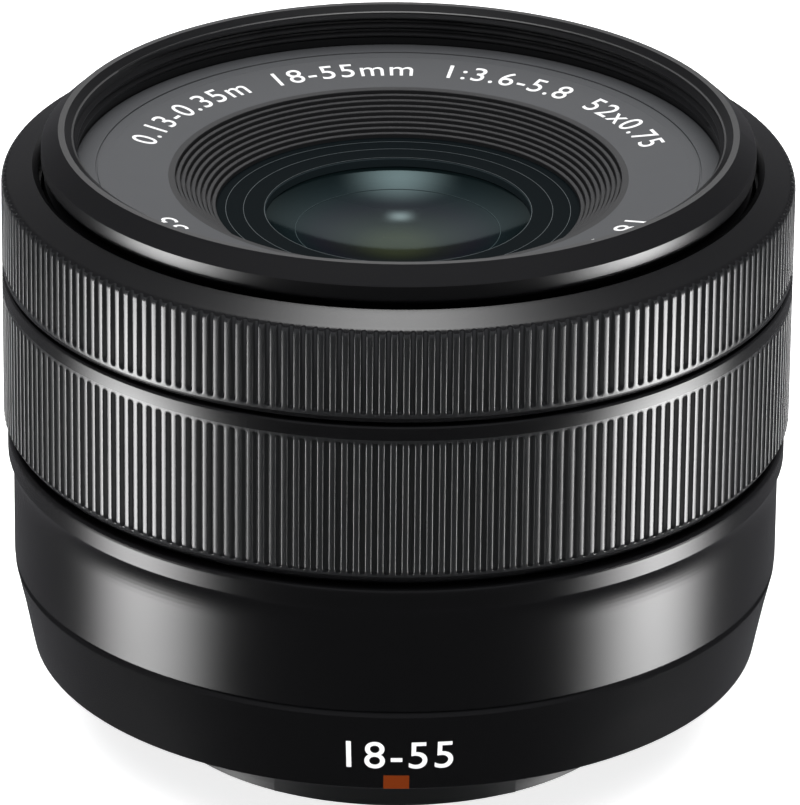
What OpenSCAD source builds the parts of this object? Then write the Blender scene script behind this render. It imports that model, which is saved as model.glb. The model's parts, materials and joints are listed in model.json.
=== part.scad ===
// Compact power-zoom camera lens, retracted.
// Millimetres. Z is the optical axis and points to the front.
// Z = 0 is the face of the mount flange. The index mark is on the -Y side.

/* [Rings] */
// Number of flutes around each ring
flutes = 210; // [180:5:220]
// Depth of a flute
flute_depth = 0.36; // [0.25:0.01:0.4]
// Share of the pitch that a flute takes
flute_share = 0.72; // [0.6:0.02:0.8]
// Wall of a ring under its flutes
ring_wall = 1.44; // [1.3:0.02:1.6]
// Gap between a ring and the sleeve it turns on
ring_gap = 0.25; // [0.15:0.05:0.3]
// Gap between stacked rings and shells
stack_gap = 0.3; // [0.2:0.05:0.4]

/* [Outside heights] */
// Front edge of the head
front_z = 44.25; // [44:0.05:45]
// Top of the control ring
control_top = 41.4; // [41.2:0.05:41.6]
// Top of the flutes of the control ring
control_flute_top = 40.4; // [40:0.05:40.6]
// Bottom of the flutes of the control ring
control_flute_bot = 33.95; // [33.8:0.05:34.2]
// Bottom of the control ring
control_bot = 33.2; // [33.1:0.05:33.4]
// Top of the zoom ring
zoom_top = 32.75; // [32.5:0.05:32.9]
// Top of the flutes of the zoom ring
zoom_flute_top = 31.35; // [31:0.05:31.6]
// Bottom of the flutes of the zoom ring
zoom_flute_bot = 20.25; // [20:0.05:20.6]
// Bottom of the zoom ring
zoom_bot = 19.2; // [19.1:0.05:19.3]
// Seam between the two shells
seam_z = 8.25; // [8.1:0.05:8.4]
// Seat of the chassis on the skirt
seat_z = 7.4; // [7.2:0.05:7.6]
// Bottom edge of the skirt
skirt_bot = 0.8; // [0.75:0.05:0.9]

/* [Shells] */
// How far the proud lip of the rear housing lies inside the rings
lip_inset = 0.3; // [0.2:0.05:0.4]
// How far the main wall of the rear housing lies inside the rings
shell_inset = 0.75; // [0.6:0.05:0.9]
// How far the waist of the skirt lies inside the rings
waist_inset = 1.55; // [1.4:0.05:1.7]
// How far the bottom edge of the skirt lies inside the rings
skirt_inset = 2.2; // [2:0.05:2.3]
// Height of the proud lip of the rear housing
lip_h = 1.7; // [1.5:0.05:1.8]
// Bottom of the concave band of the rear housing
band_low = 14.6; // [14:0.1:15]
// Height of the waist of the skirt
waist_z = 4.3; // [4:0.1:4.6]
// Rounding of the outer edges of both shells
edge_r = 0.4; // [0.3:0.05:0.5]
// Bevel along the top of the skirt, one side of the seam's groove
seam_bevel = 0.45; // [0.3:0.05:0.5]
// Wall of the skirt
skirt_wall = 2.2; // [2:0.1:2.4]
// Width of the index mark
index_w = 2.0; // [1.6:0.1:2.4]
// Height of the index mark
index_h = 1.35; // [1.2:0.05:1.5]

/* [Barrels] */
// Wall of the fixed sleeve
sleeve_wall = 1.05; // [1:0.05:1.1]
// Wall of the middle and front barrels
barrel_wall = 0.8; // [0.75:0.05:0.85]
// Gap between telescoping barrels
barrel_gap = 0.3; // [0.25:0.05:0.35]
// Wall of the cam ring
cam_wall = 1.8; // [1.75:0.05:1.9]
// Wall of the guide tube
guide_wall = 0.7; // [0.65:0.05:0.75]
// Travel of each of the two barrel stages
stage_travel = 10.5; // [10:0.1:10.6]
// Travel of the zoom carriage
carriage_travel = 8; // [7:0.1:8.2]
// Turn of the cam ring over the whole zoom
cam_turn = 50; // [48:1:52]
// Depth of a cam groove
groove_depth = 0.7; // [0.65:0.01:0.72]
// Radius of a cam pin
pin_r = 0.8; // [0.7:0.05:0.85]
// Gap around a pin in its slot
pin_gap = 0.2; // [0.15:0.05:0.25]

/* [Head] */
// Wall radius of the filter thread, which the other radii follow
thread_r = 25.6; // [24:0.1:28]
// Wall of the head around the filter thread
rim_wall = 1.3; // [1.2:0.05:1.4]
// How far the middle barrel stands out from the rim
flare_w = 1.0; // [0.9:0.05:1.1]
// How far the head's band stands out from the middle barrel
band_out = 0.25; // [0.15:0.05:0.3]
// Height of the head's upright band
band_h = 1.6; // [1.5:0.05:1.7]
// Rounding at the band's lower edge
band_round = 0.55; // [0.4:0.05:0.6]
// Height of the undercut below the band
undercut_h = 0.45; // [0.35:0.05:0.55]
// Depth of the filter thread
thread_depth = 3.25; // [3:0.05:3.3]
// Shelf between the filter thread and the name plate
shelf_w = 2.0; // [1.8:0.05:2.2]
// Width of the name plate
plate_w = 5.45; // [5.2:0.05:5.6]
// Width of the stepped cone
cone_w = 3.6; // [3.4:0.05:3.8]
// Height of the stepped cone
cone_h = 2.8; // [2.6:0.05:3]
// Number of steps on the cone
cone_steps = 9; // [8:1:10]
// Length of the front cell behind its flange
cell_len = 14; // [13.8:0.1:14.2]

/* [Mount] */
// How far the mount flange lies inside the skirt
flange_inset = 3.1; // [3:0.05:3.3]
// Width of the mount flange's face
flange_w = 4.0; // [3.8:0.05:4.2]
// Thickness of the mount flange
flange_t = 1.3; // [1.25:0.05:1.4]
// Wall of the bayonet tube
tube_wall = 1.6; // [1.5:0.05:1.7]
// Length of the bayonet tube
tube_len = 5.5; // [5.3:0.1:6]
// How much smaller the end of the bayonet tube is
tube_step = 1.0; // [0.8:0.05:1.1]
// Lower face of the lugs behind the mount face
lug_low = 4.3; // [4.2:0.05:4.4]
// Height of a lug over the bayonet tube
lug_h = 1.1; // [1:0.05:1.2]
// Half the angle of a lug
lug_half = 26; // [24:1:28]
// Thickness of a lug
lug_t = 1.4; // [1.2:0.05:1.5]
// Number of electrical contacts
contacts = 10; // [8:1:10]

/* [Drive] */
// Gear module
gear_m = 0.4; // [0.36:0.01:0.4]
// Teeth of the motor pinion
pinion_teeth = 12; // [11:1:13]
// Radius of the zoom motor
motor_r = 3.0; // [2.8:0.1:3.1]
// Angle of the zoom motor around the axis
motor_a = 200; // [195:1:205]
// Travel of the focus carriage
focus_travel = 3; // [2.5:0.1:3]
// Half travel of the stabiliser frames
shift_travel = 0.4; // [0.3:0.05:0.4]

/* [Iris] */
// Number of iris blades
blades = 7; // [7:1:7]
// Radius of the open iris
iris_open_r = 6.3; // [6.2:0.05:6.5]
// Circle of the blade pivots
pivot_circle_r = 11; // [10.9:0.05:11.1]
// Distance from a blade's pivot to its drive pin
drive_arm = 1.6; // [1.55:0.05:1.65]
// Turn of a blade from open to closed
blade_turn = 28; // [26:1:28]
// Thickness of a blade
blade_t = 0.1; // [0.08:0.01:0.1]
// Height of one blade layer
blade_pitch = 0.2; // [0.2:0.01:0.22]

/* [Hidden] */

$fn = 96;
eps = 0.01;

// Radii from the filter thread out to the rings
rim_r = thread_r + rim_wall;
flare_r = rim_r + flare_w;
middle_r = flare_r;
sleeve_in_r = middle_r + barrel_gap;
sleeve_r = sleeve_in_r + sleeve_wall;
ring_in_r = sleeve_r + ring_gap;
ring_root_r = ring_in_r + ring_wall;
ring_r = ring_root_r + flute_depth;

// Radii from the middle barrel in to the zoom carriage
middle_in_r = middle_r - barrel_wall;
skirt_tube_r = middle_in_r - barrel_gap;
skirt_tube_in_r = skirt_tube_r - barrel_wall;
cam_r = skirt_tube_in_r - barrel_gap;
cam_in_r = cam_r - cam_wall;
guide_r = cam_in_r - barrel_gap;
guide_in_r = guide_r - guide_wall;
carriage_r = guide_in_r - barrel_gap;

// Radii inside the head
fit_gap = 0.15;
plate_r = thread_r - shelf_w;
plate_in_r = plate_r - plate_w;
cone_r = plate_in_r - fit_gap;
cone_hole_r = cone_r - cone_w;
cell_r = cone_r - 1.1;

// Radii of the shells and the mount
lip_r = ring_r - lip_inset;
shell_r = ring_r - shell_inset;
waist_r = ring_r - waist_inset;
skirt_r = ring_r - skirt_inset;
lip_gap = 0.5;
ring_lip_r = middle_r + lip_gap;
flange_r = skirt_r - flange_inset;
relief_r = flange_r - flange_w;
lug_r = relief_r - 2 * fit_gap;
tube_r = lug_r - lug_h;
screw_circle_r = (relief_r + flange_r) / 2;

// Heights shared by the drive
chassis_t = 1.0;
chassis_top = seat_z + chassis_t;
cam_bot = chassis_top + stack_gap;
head_bot = front_z - thread_depth;
band_bot = head_bot + undercut_h;
head_r = flare_r + band_out;
floor_t = 1;
floor_top = head_bot - 3;
floor_bot = floor_top - floor_t;
cam_top = floor_bot - 0.5;
sleeve_top = control_flute_top - 0.8;
skirt_tube_bot = chassis_top + 3.1;
slot_r = pin_r + pin_gap;
front_pin_z = skirt_tube_bot + 2.1;
middle_pin_z = skirt_tube_bot + stage_travel + slot_r + 1.2;
pin_angles = [90, 210, 330];
middle_shift = 60;
carriage_shift = 20;
gear_t = 2;
cam_teeth = floor((cam_in_r + 0.5) * 2 / gear_m + 0.01);
pitch_cam_r = gear_m * cam_teeth / 2;
pitch_pinion_r = gear_m * pinion_teeth / 2;
pinion_c = pitch_cam_r - pitch_pinion_r;
pressure_a = 20;

// Rear group and focus unit
skirt_floor_t = 1.5;
skirt_floor_top = flange_t + skirt_floor_t;
rear_plate_t = 0.8;
rear_plate_top = skirt_floor_top + rear_plate_t;
rear_bore_r = 11.2;
rear_wall = 1.2;
focus_z = 5.8;
focus_t = 1.2;
focus_h = 2.2;
rod_r = 0.6;
rod_circle_r = 14.6;
rod_angles = [20, 160];
screw_a = 270;
screw_r = 0.7;
screw_circle = 14.8;
focus_motor_r = 2.6;
focus_motor_c = screw_circle + 1;
motor_gap = 0.3;
run_gap = 0.1;
rod_top = focus_z + focus_h + focus_travel + stack_gap;

// Zoom carriage
carriage_bot = rod_top + 0.4;
carriage_pin_z = carriage_bot + 3.3;

// Iris layers on the carriage
iris_z = carriage_bot + 7.9;
iris_plate_t = 0.6;
blade_z0 = iris_z + iris_plate_t + 0.15;
iris_ring_z = blade_z0 + blades * blade_pitch + 0.1;
iris_ring_t = 0.6;
cover_z = iris_ring_z + iris_ring_t + 0.15;
cover_t = 0.4;
drive_r = pivot_circle_r + drive_arm;
iris_ring_r = drive_r + 2;
iris_rim_r = iris_ring_r + 0.8;
drive_low_r = norm([pivot_circle_r + drive_arm * cos(blade_turn), drive_arm * sin(blade_turn)]);
blade_pin_r = 0.45;
blade_hole_r = 0.55;

function polar(r, a) = [r * cos(a), r * sin(a)];

// Points of a cubic curve between two ends with two handles
function curve(p, q, u, v, n) = [for (i = [0:n]) let (t = i / n)
    p * pow(1 - t, 3) + 3 * q * t * pow(1 - t, 2) + 3 * u * t * t * (1 - t) + v * pow(t, 3)];

// Points of a rounded corner at p, from direction a to direction b
function rounded(p, r, a, b) = curve(p + r * a, p + r * a * 0.45, p + r * b * 0.45, p + r * b, 4);
up = [0, 1];
down = [0, -1];
out = [1, 0];
inward = [-1, 0];

// A revolved ring from a half section
module turned(points, facets = 128) {
    rotate_extrude($fn = facets) polygon(points);
}

module tube(r_out, r_in, z0, z1) {
    translate([0, 0, z0])
        difference() {
            cylinder(r = r_out, h = z1 - z0);
            translate([0, 0, -1]) cylinder(r = r_in, h = z1 - z0 + 2);
        }
}

module at_angles(angles) {
    for (a = angles) rotate([0, 0, a]) children();
}

// A sector of a ring, used as a 2D cutter
module sector(r_in, r_out, half) {
    n = 2;
    polygon(concat(
        [for (i = [0:n]) polar(r_out, -half + 2 * half * i / n)],
        [for (i = [n:-1:0]) polar(r_in, -half + 2 * half * i / n)]));
}

// Grooves that climb while the cam ring turns under a fixed pin
module helical_grooves(r_in, r_out, z0, rise, first) {
    more = slot_r + 0.3;
    climb = rise + 2 * more;
    mean_r = (r_in + r_out) / 2;
    slope = atan2(rise, mean_r * cam_turn * PI / 180);
    half = (slot_r / sin(slope)) / mean_r * 180 / PI;
    turn_per_mm = cam_turn / rise;
    at_angles(pin_angles)
        rotate([0, 0, first + more * turn_per_mm])
            translate([0, 0, z0 - more])
                linear_extrude(height = climb, twist = climb * turn_per_mm, slices = 14, $fn = 6)
                    sector(r_in, r_out, half);
}

// Round radial pins that point along r from r0 to r1
module radial_pins(r0, r1, z, r, first) {
    at_angles(pin_angles)
        rotate([0, 0, first])
            translate([r0, 0, z])
                rotate([0, 90, 0]) cylinder(r = r, h = r1 - r0, $fn = 32);
}

// Straight slots through a wall, along the axis
module straight_slots(r0, r1, z0, z1, half_w, first) {
    at_angles(pin_angles)
        rotate([0, 0, first])
            translate([r0, -half_w, z0]) cube([r1 - r0, 2 * half_w, z1 - z0]);
}

// Involute of a base circle at roll angle t
function involute(rb, t) = polar(rb * sqrt(1 + pow(t * PI / 180, 2)), t - atan2(t * PI / 180, 1));
function roll_at(rb, r) = sqrt(max(0, pow(r / rb, 2) - 1)) * 180 / PI;
function spin(p, a) = [p[0] * cos(a) - p[1] * sin(a), p[0] * sin(a) + p[1] * cos(a)];

// Outline of a gear; thin is taken off each tooth at the pitch circle
module gear_2d(teeth, add, ded, thin) {
    rp = gear_m * teeth / 2;
    rb = rp * cos(pressure_a);
    root = rp - ded;
    tip = rp + add;
    t0 = roll_at(rb, max(root, rb));
    t1 = roll_at(rb, tip);
    tp = roll_at(rb, rp);
    pp = involute(rb, tp);
    half = 90 / teeth - (thin / 2) / rp * 180 / PI;
    turn = -half - atan2(pp[1], pp[0]);
    n = 3;
    right = [for (i = [0:n]) spin(involute(rb, t0 + (t1 - t0) * i / n), turn)];
    foot = polar(root, atan2(right[0][1], right[0][0]));
    flank = concat([foot], right);
    tooth = concat(flank, [for (i = [n + 1:-1:0]) [flank[i][0], -flank[i][1]]]);
    polygon([for (k = [0:teeth - 1]) for (p = tooth) spin(p, 360 * k / teeth)]);
}

// A lens between two spheres; a positive rear radius hollows the back
module lens_solid(r, z_low, z_front, front_r, z_rear, rear_r) {
    difference() {
        intersection() {
            translate([0, 0, z_low]) cylinder(r = r, h = z_front - z_low + 1);
            translate([0, 0, z_front - front_r]) sphere(r = front_r, $fn = 128);
        }
        translate([0, 0, z_rear - rear_r]) sphere(r = rear_r, $fn = 128);
    }
}

// Prism of a fluted ring: half-round flutes with narrow crests between them
module flute_profile(z0, z1) {
    pitch_a = 360 / flutes;
    half_a = pitch_a * flute_share / 2;
    n = 4;
    linear_extrude(height = z1 - z0)
        polygon([for (k = [0:flutes - 1]) for (i = [0:n])
            polar(ring_r + eps - (flute_depth + eps) * sin(180 * i / n),
                k * pitch_a - half_a * cos(180 * i / n))]);
}

module fluted(z0, z1) {
    intersection() {
        children();
        union() {
            translate([0, 0, z0]) flute_profile(z0, z1);
            translate([0, 0, z1]) cylinder(r = ring_r + 1, h = 10);
            translate([0, 0, z0 - 10]) cylinder(r = ring_r + 1, h = 10);
        }
    }
}

shoulder_r = ring_lip_r + 0.45;
under_lip_r = ring_r - 0.6;

module control_ring() {
    color([0.09, 0.09, 0.1])
    difference() {
        fluted(control_flute_bot, control_flute_top)
            turned(concat(
                [[ring_in_r, control_bot], [under_lip_r, control_bot]],
                curve([ring_r - 0.25, control_bot + 0.2], [ring_r - 0.1, control_bot + 0.3],
                    [ring_r, control_bot + 0.4], [ring_r, control_flute_bot - 0.15], 4),
                curve([ring_r, control_flute_top - 0.4], [ring_r, control_flute_top - 0.15],
                    [ring_r - 0.15, control_flute_top + 0.05], [ring_r - 0.4, control_flute_top + 0.15], 5),
                [[shoulder_r, control_top], [ring_lip_r, control_top - 0.25],
                    [ring_lip_r, sleeve_top + stack_gap], [ring_in_r, sleeve_top + stack_gap]]));
        tube(clip_r + stack_gap, ring_in_r - 1, clip_z - stack_gap, clip_z + clip_t + stack_gap);
        tube(strip_r, ring_in_r - 1, strip_z, strip_z + strip_h);
    }
}

clip_z = sleeve_top - 1.1;
clip_t = 0.4;
clip_r = sleeve_r + 0.55;
strip_r = ring_in_r + 0.5;
strip_t = 0.2;
strip_z = control_bot + 1;
strip_h = 2;

module encoder_strip() {
    color([0.7, 0.7, 0.72])
    difference() {
        tube(strip_r, strip_r - strip_t, strip_z, strip_z + strip_h);
        for (a = [0:12:359]) rotate([0, 0, a])
            translate([strip_r - 1, -0.5, strip_z + 0.5]) cube([2, 1, strip_h - 1]);
    }
}

module ring_sensor() {
    color([0.15, 0.15, 0.16])
    at_angles([60, 76])
        translate([sleeve_r - 0.5, -1.2, strip_z + 0.2]) cube([0.5, 2.4, strip_h - 0.4]);
}

zoom_foot_r = ring_r - 1;
zoom_land = 0.4;

module zoom_ring() {
    color([0.09, 0.09, 0.1])
    difference() {
        fluted(zoom_flute_bot, zoom_flute_top)
            turned(concat(
                [[ring_in_r, zoom_bot], [zoom_foot_r, zoom_bot]],
                curve([ring_r - 0.3, zoom_bot + 0.4], [ring_r - 0.1, zoom_bot + 0.5],
                    [ring_r, zoom_bot + 0.55], [ring_r, zoom_flute_bot - zoom_land + 0.1], 4),
                curve([ring_r, zoom_flute_top + 0.2], [ring_r, zoom_top - 0.6],
                    [ring_r - 0.05, zoom_top], [ring_r - 0.4, zoom_top], 6),
                [[ring_in_r, zoom_top]]));
        rotate([0, 0, wiper_a])
            translate([ring_in_r - 1, -wiper_w / 2, wiper_z])
                cube([1 + wiper_t, wiper_w, wiper_h]);
    }
}

wiper_a = 120;
wiper_w = 5;
wiper_h = 3;
wiper_z = zoom_bot + 3;
wiper_t = 0.5;

module zoom_wiper() {
    color([0.75, 0.6, 0.3])
    rotate([0, 0, wiper_a])
        translate([ring_in_r, -wiper_w / 2, wiper_z]) cube([wiper_t, wiper_w, wiper_h]);
}

housing_top = zoom_bot - stack_gap;
housing_in_r = sleeve_r + ring_gap;

band_top = housing_top - lip_h;
crisp_r = edge_r / 4;

module rear_housing() {
    color([0.05, 0.05, 0.055])
    turned(concat(
        [[housing_in_r, seam_z]],
        rounded([shell_r, seam_z], crisp_r, inward, up),
        curve([shell_r, band_low], [shell_r, band_low + 1.3], [lip_r - 0.3, band_top - 0.4],
            [lip_r - 0.05, band_top - 0.1], 10),
        [[lip_r, band_top]],
        rounded([lip_r, housing_top], edge_r, down, inward),
        [[housing_in_r, housing_top]]));
}

skirt_in_r = waist_r - skirt_wall;

flange_pocket_r = flange_r + fit_gap;
skirt_hole_r = tube_r + 0.5;
skirt_top_r = shell_r - 0.05;

// Outer side of the skirt from its bottom edge up
function skirt_side() = concat(
    rounded([skirt_r, skirt_bot], edge_r / 2, inward, up),
    curve([waist_r - 0.1, waist_z - 0.5], [waist_r, waist_z], [waist_r, waist_z],
        [waist_r + 0.1, waist_z + 0.5], 4),
    [[skirt_top_r, seam_z - seam_bevel - crisp_r]]);

module base_skirt() {
    color([0.05, 0.05, 0.055])
    difference() {
        turned(concat(
            [[flange_pocket_r, skirt_bot]], skirt_side(),
            [[skirt_top_r - crisp_r, seam_z - seam_bevel], [skirt_top_r - seam_bevel, seam_z],
                [housing_in_r, seam_z], [housing_in_r, seat_z],
                [skirt_in_r, seat_z], [skirt_in_r, skirt_floor_top], [skirt_hole_r, skirt_floor_top],
                [skirt_hole_r, flange_t], [flange_pocket_r, flange_t]]));
        index_block();
        at_angles(screw_angles)
            translate([screw_circle_r, 0, flange_t - 1])
                cylinder(r = screw_shank_r, h = skirt_floor_t - 0.2 + 1, $fn = 32);
    }
}

module index_block() {
    intersection() {
        translate([-index_w / 2, -skirt_r - 1, skirt_bot - eps])
            cube([index_w, 1.6, index_h]);
        turned(concat([[skirt_r - 1.2, skirt_bot]], skirt_side(), [[skirt_r - 1.2, seat_z]]), 720);
    }
}

module index_mark() {
    color([0.43, 0.19, 0.06]) index_block();
}

screw_angles = [45, 135, 225, 315];
screw_shank_r = 0.7;
screw_head_r = 1.3;
screw_head_t = 0.7;
screw_head_z = 0.15;
ledge_r = tube_r - tube_wall - 1.5;
ledge_t = 1.2;

module bayonet_mount() {
    color([0.2, 0.2, 0.21])
    difference() {
        union() {
            tube(flange_r, ledge_r, 0, flange_t);
            tube(tube_r, tube_r - tube_wall, -lug_low, 0.5);
            tube(tube_r - tube_step, tube_r - tube_wall, -tube_len, 0.5);
            tube(tube_r - tube_wall + 0.2, ledge_r, -ledge_t, 0.5);
            at_angles([-90, 30, 150])
                translate([0, 0, -lug_low])
                    intersection() {
                        tube(lug_r, tube_r - 0.4, 0, lug_t);
                        linear_extrude(height = lug_t) sector(tube_r / 2, 2 * lug_r, lug_half);
                    }
        }
        tube(relief_r, tube_r, -1, 0.3);
        at_angles(screw_angles) {
            translate([screw_circle_r, 0, -1])
                cylinder(r = screw_head_r + 0.1, h = 1 + screw_head_z + screw_head_t, $fn = 32);
            translate([screw_circle_r, 0, 0])
                cylinder(r = screw_shank_r + 0.1, h = flange_t + 1, $fn = 32);
        }
    }
}

module mount_screws() {
    color([0.6, 0.6, 0.62])
    at_angles(screw_angles)
        translate([screw_circle_r, 0, screw_head_z])
            difference() {
                union() {
                    cylinder(r = screw_head_r, h = screw_head_t, $fn = 32);
                    cylinder(r = screw_shank_r, h = flange_t + skirt_floor_t - 0.2 - screw_head_z, $fn = 32);
                }
                for (a = [0, 90]) rotate([0, 0, a])
                    translate([-0.75, -0.16, -1]) cube([1.5, 0.32, 1.35]);
            }
}

baffle_r = tube_r - tube_wall - 0.05;
baffle_t = 1.0;

module rear_baffle() {
    color([0.04, 0.04, 0.04])
    translate([0, 0, -ledge_t - baffle_t])
        difference() {
            cylinder(r = baffle_r, h = baffle_t);
            translate([0, 0, -1])
                intersection() {
                    cylinder(r = 13.6, h = baffle_t + 2);
                    translate([-12, -9, 0]) cube([24, 18, baffle_t + 2]);
                }
        }
}

block_z = -tube_len + 0.3;
block_top = -ledge_t - baffle_t;
contact_a = 90;
block_half = 30;
contact_step = 5.4;
contact_r = baffle_r - 1.85;
contact_pin_r = 0.5;

module contact_block() {
    color([0.06, 0.06, 0.06])
    difference() {
        intersection() {
            tube(baffle_r, contact_r - 1.6, block_z, block_top);
            rotate([0, 0, contact_a])
                translate([0, 0, block_z])
                    linear_extrude(height = block_top - block_z)
                        sector(contact_r / 2, 2 * tube_r, block_half);
        }
        contact_set(contact_pin_r, block_z - 1, block_top - 0.4);
    }
}

module contact_set(r, z0, z1) {
    for (i = [0:contacts - 1])
        rotate([0, 0, contact_a + (i - (contacts - 1) / 2) * contact_step])
            translate([contact_r, 0, z0]) cylinder(r = r, h = z1 - z0, $fn = 32);
}

module contact_pins() {
    color([0.85, 0.65, 0.25]) contact_set(contact_pin_r, block_z - 0.15, block_top - 0.4);
}

key_half_w = 1.2;
key_h = 2.4;
key_depth = 0.55;
middle_bot = chassis_top + 2.6;
key_z = middle_bot + 1;
middle_top = head_bot - 0.5;

module fixed_sleeve() {
    color([0.1, 0.1, 0.11])
    difference() {
        tube(sleeve_r, sleeve_in_r, chassis_top, sleeve_top);
        straight_slots(sleeve_in_r - 1, sleeve_in_r + key_depth, key_z - 0.5,
            key_z + key_h + stage_travel + 0.5, key_half_w + pin_gap, 0);
        tube(sleeve_r + 1, clip_r - 1, clip_z, clip_z + clip_t);
        tube(seal_r, sleeve_in_r - 1, seal_z, seal_z + seal_h);
        at_angles([60, 76])
            translate([sleeve_r - 0.5, -1.2, strip_z + 0.2]) cube([1.5, 2.4, strip_h - 0.4]);
    }
}

seal_r = sleeve_in_r + 0.45;
seal_h = 1.2;
seal_z = clip_z - 2;

module dust_seal() {
    color([0.03, 0.03, 0.03])
        tube(seal_r, sleeve_in_r - 0.15, seal_z, seal_z + seal_h);
}

module ring_spacer() {
    color([0.03, 0.03, 0.03])
        tube(ring_r - 0.8, sleeve_r, zoom_top + 0.1, control_bot - 0.1);
}

module ring_clip() {
    color([0.6, 0.6, 0.62])
    difference() {
        tube(clip_r, clip_r - 1, clip_z, clip_z + clip_t);
        translate([0, -1.5, clip_z - 1]) cube([40, 3, 3]);
    }
}

chassis_hole_r = 17.8;

module chassis() {
    color([0.12, 0.12, 0.13])
    difference() {
        tube(housing_in_r - 0.2, chassis_hole_r, seat_z, chassis_top);
        rotate([0, 0, motor_a]) translate([pinion_c, 0, seat_z - 1]) cylinder(r = 0.6, h = 4, $fn = 32);
    }
}

module guide_tube() {
    color([0.14, 0.14, 0.15])
    difference() {
        tube(guide_r, guide_in_r, chassis_top, cam_top);
        straight_slots(guide_in_r - 1, guide_r + 1, carriage_pin_z - slot_r - 0.2,
            carriage_pin_z + carriage_travel + slot_r + 0.2, slot_r, carriage_shift);
        rotate([0, 0, motor_a])
            translate([guide_in_r - 2, -3.6, chassis_top - 1]) cube([5, 7.2, gear_t + 2]);
    }
}

module cam_ring() {
    color([0.16, 0.16, 0.17])
    difference() {
        tube(cam_r, cam_in_r, cam_bot, cam_top);
        helical_grooves(cam_r - groove_depth, cam_r + 1, front_pin_z, 2 * stage_travel, 0);
        helical_grooves(cam_r - groove_depth, cam_r + 1, middle_pin_z, stage_travel, middle_shift);
        helical_grooves(cam_in_r - 1, cam_in_r + groove_depth, carriage_pin_z,
            carriage_travel, carriage_shift);
        translate([0, 0, cam_bot - 1]) {
            cylinder(r = pitch_cam_r - 0.28, h = gear_t + 1);
            rotate([0, 0, motor_a])
                linear_extrude(height = gear_t + 1) gear_2d(cam_teeth, 0.4, 0.3, -0.1);
        }
    }
}

module zoom_pinion() {
    color([0.85, 0.85, 0.8])
    rotate([0, 0, motor_a])
        translate([pinion_c, 0, 0]) {
            translate([0, 0, cam_bot])
                linear_extrude(height = gear_t - 0.2) gear_2d(pinion_teeth, 0.26, 0.45, 0.1);
            translate([0, 0, seat_z + 0.2]) cylinder(r = 0.5, h = cam_bot - seat_z + gear_t - 0.6, $fn = 32);
        }
}

module zoom_motor() {
    color([0.62, 0.62, 0.64])
    rotate([0, 0, motor_a])
        translate([pinion_c, 0, rear_plate_top]) {
            cylinder(r = motor_r, h = seat_z - rear_plate_top, $fn = 48);
        }
}

module middle_barrel() {
    color([0.07, 0.07, 0.075])
    difference() {
        union() {
            tube(middle_r, middle_in_r, middle_bot, middle_top);
            intersection() {
                straight_slots(middle_in_r + 0.3, sleeve_r, key_z, key_z + key_h, key_half_w, 0);
                tube(sleeve_in_r + key_depth - 0.2, middle_in_r + 0.2, key_z, key_z + key_h);
            }
        }
        radial_pins(middle_in_r - 1, middle_r + 1, middle_pin_z, pin_r, middle_shift);
    }
}

module middle_pins() {
    color([0.6, 0.6, 0.62])
        intersection() {
            radial_pins(cam_r - groove_depth + pin_gap, middle_r + 1, middle_pin_z, pin_r, middle_shift);
            tube(middle_r, 10, middle_pin_z - 3, middle_pin_z + 3);
        }
}

module front_barrel() {
    color([0.07, 0.07, 0.075])
    difference() {
        turned(concat(
            [[skirt_tube_in_r, skirt_tube_bot], [skirt_tube_r, skirt_tube_bot],
            [skirt_tube_r, head_bot], [flare_r - 0.5, head_bot]],
            curve([head_r - 0.4, band_bot], [head_r - 0.2, band_bot + 0.1],
                [head_r, band_bot + band_round / 2], [head_r, band_bot + band_round], 5),
            [[head_r, band_bot + band_h - 0.1], [head_r - 0.08, band_bot + band_h],
            [rim_r + 0.05, front_z - 0.15], [rim_r - 0.1, front_z],
            [rim_r - 0.6, front_z], [thread_r + 0.15, front_z - 0.4], [thread_r, front_z - 0.45],
            [thread_r, head_bot], [plate_r + 0.3, head_bot], [plate_r + 0.3, floor_top],
            [cell_r + 0.1, floor_top], [cell_r + 0.1, floor_bot], [skirt_tube_in_r, floor_bot]]));
        straight_slots(skirt_tube_in_r - 1, skirt_tube_r + 1, middle_pin_z - stage_travel - slot_r - 0.1,
            middle_pin_z + slot_r + 0.1, slot_r, middle_shift);
        radial_pins(skirt_tube_in_r - 1, skirt_tube_r + 1, front_pin_z, pin_r, 0);
    }
}

module front_pins() {
    color([0.6, 0.6, 0.62])
        intersection() {
            radial_pins(cam_r - groove_depth + pin_gap, skirt_tube_r + 1, front_pin_z, pin_r, 0);
            tube(skirt_tube_r, 10, front_pin_z - 3, front_pin_z + 3);
        }
}

cell_flange_r = cell_r + 4.1;
cell_flange_t = 0.6;
cone_top = head_bot - 0.7;
cone_low = cone_top - cone_h;

module name_plate() {
    color([0.16, 0.16, 0.17])
    turned([
        [cell_flange_r + 0.2, floor_top], [plate_r, floor_top], [plate_r, head_bot - 0.35],
        [plate_r - 0.7, head_bot - 0.05], [plate_in_r, cone_top], [plate_in_r, floor_top + cell_flange_t],
        [cell_flange_r + 0.2, floor_top + cell_flange_t]]);
}

module stepped_cone() {
    step_r = (cone_r - cone_hole_r) / cone_steps;
    step_z = (cone_top - cone_low) / cone_steps;
    color([0.1, 0.1, 0.105])
    turned(concat(
        [[cone_hole_r, cone_low - 0.5], [cell_r, floor_top + cell_flange_t],
            [cone_r, floor_top + cell_flange_t]],
        [for (i = [cone_steps:-1:1]) for (p = [
            [cone_hole_r + i * step_r, cone_low + i * step_z],
            [cone_hole_r + (i - 1) * step_r + 0.1, cone_low + i * step_z - 0.05],
            [cone_hole_r + (i - 1) * step_r + 0.06, cone_low + (i - 1) * step_z]]) p]));
}

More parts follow.
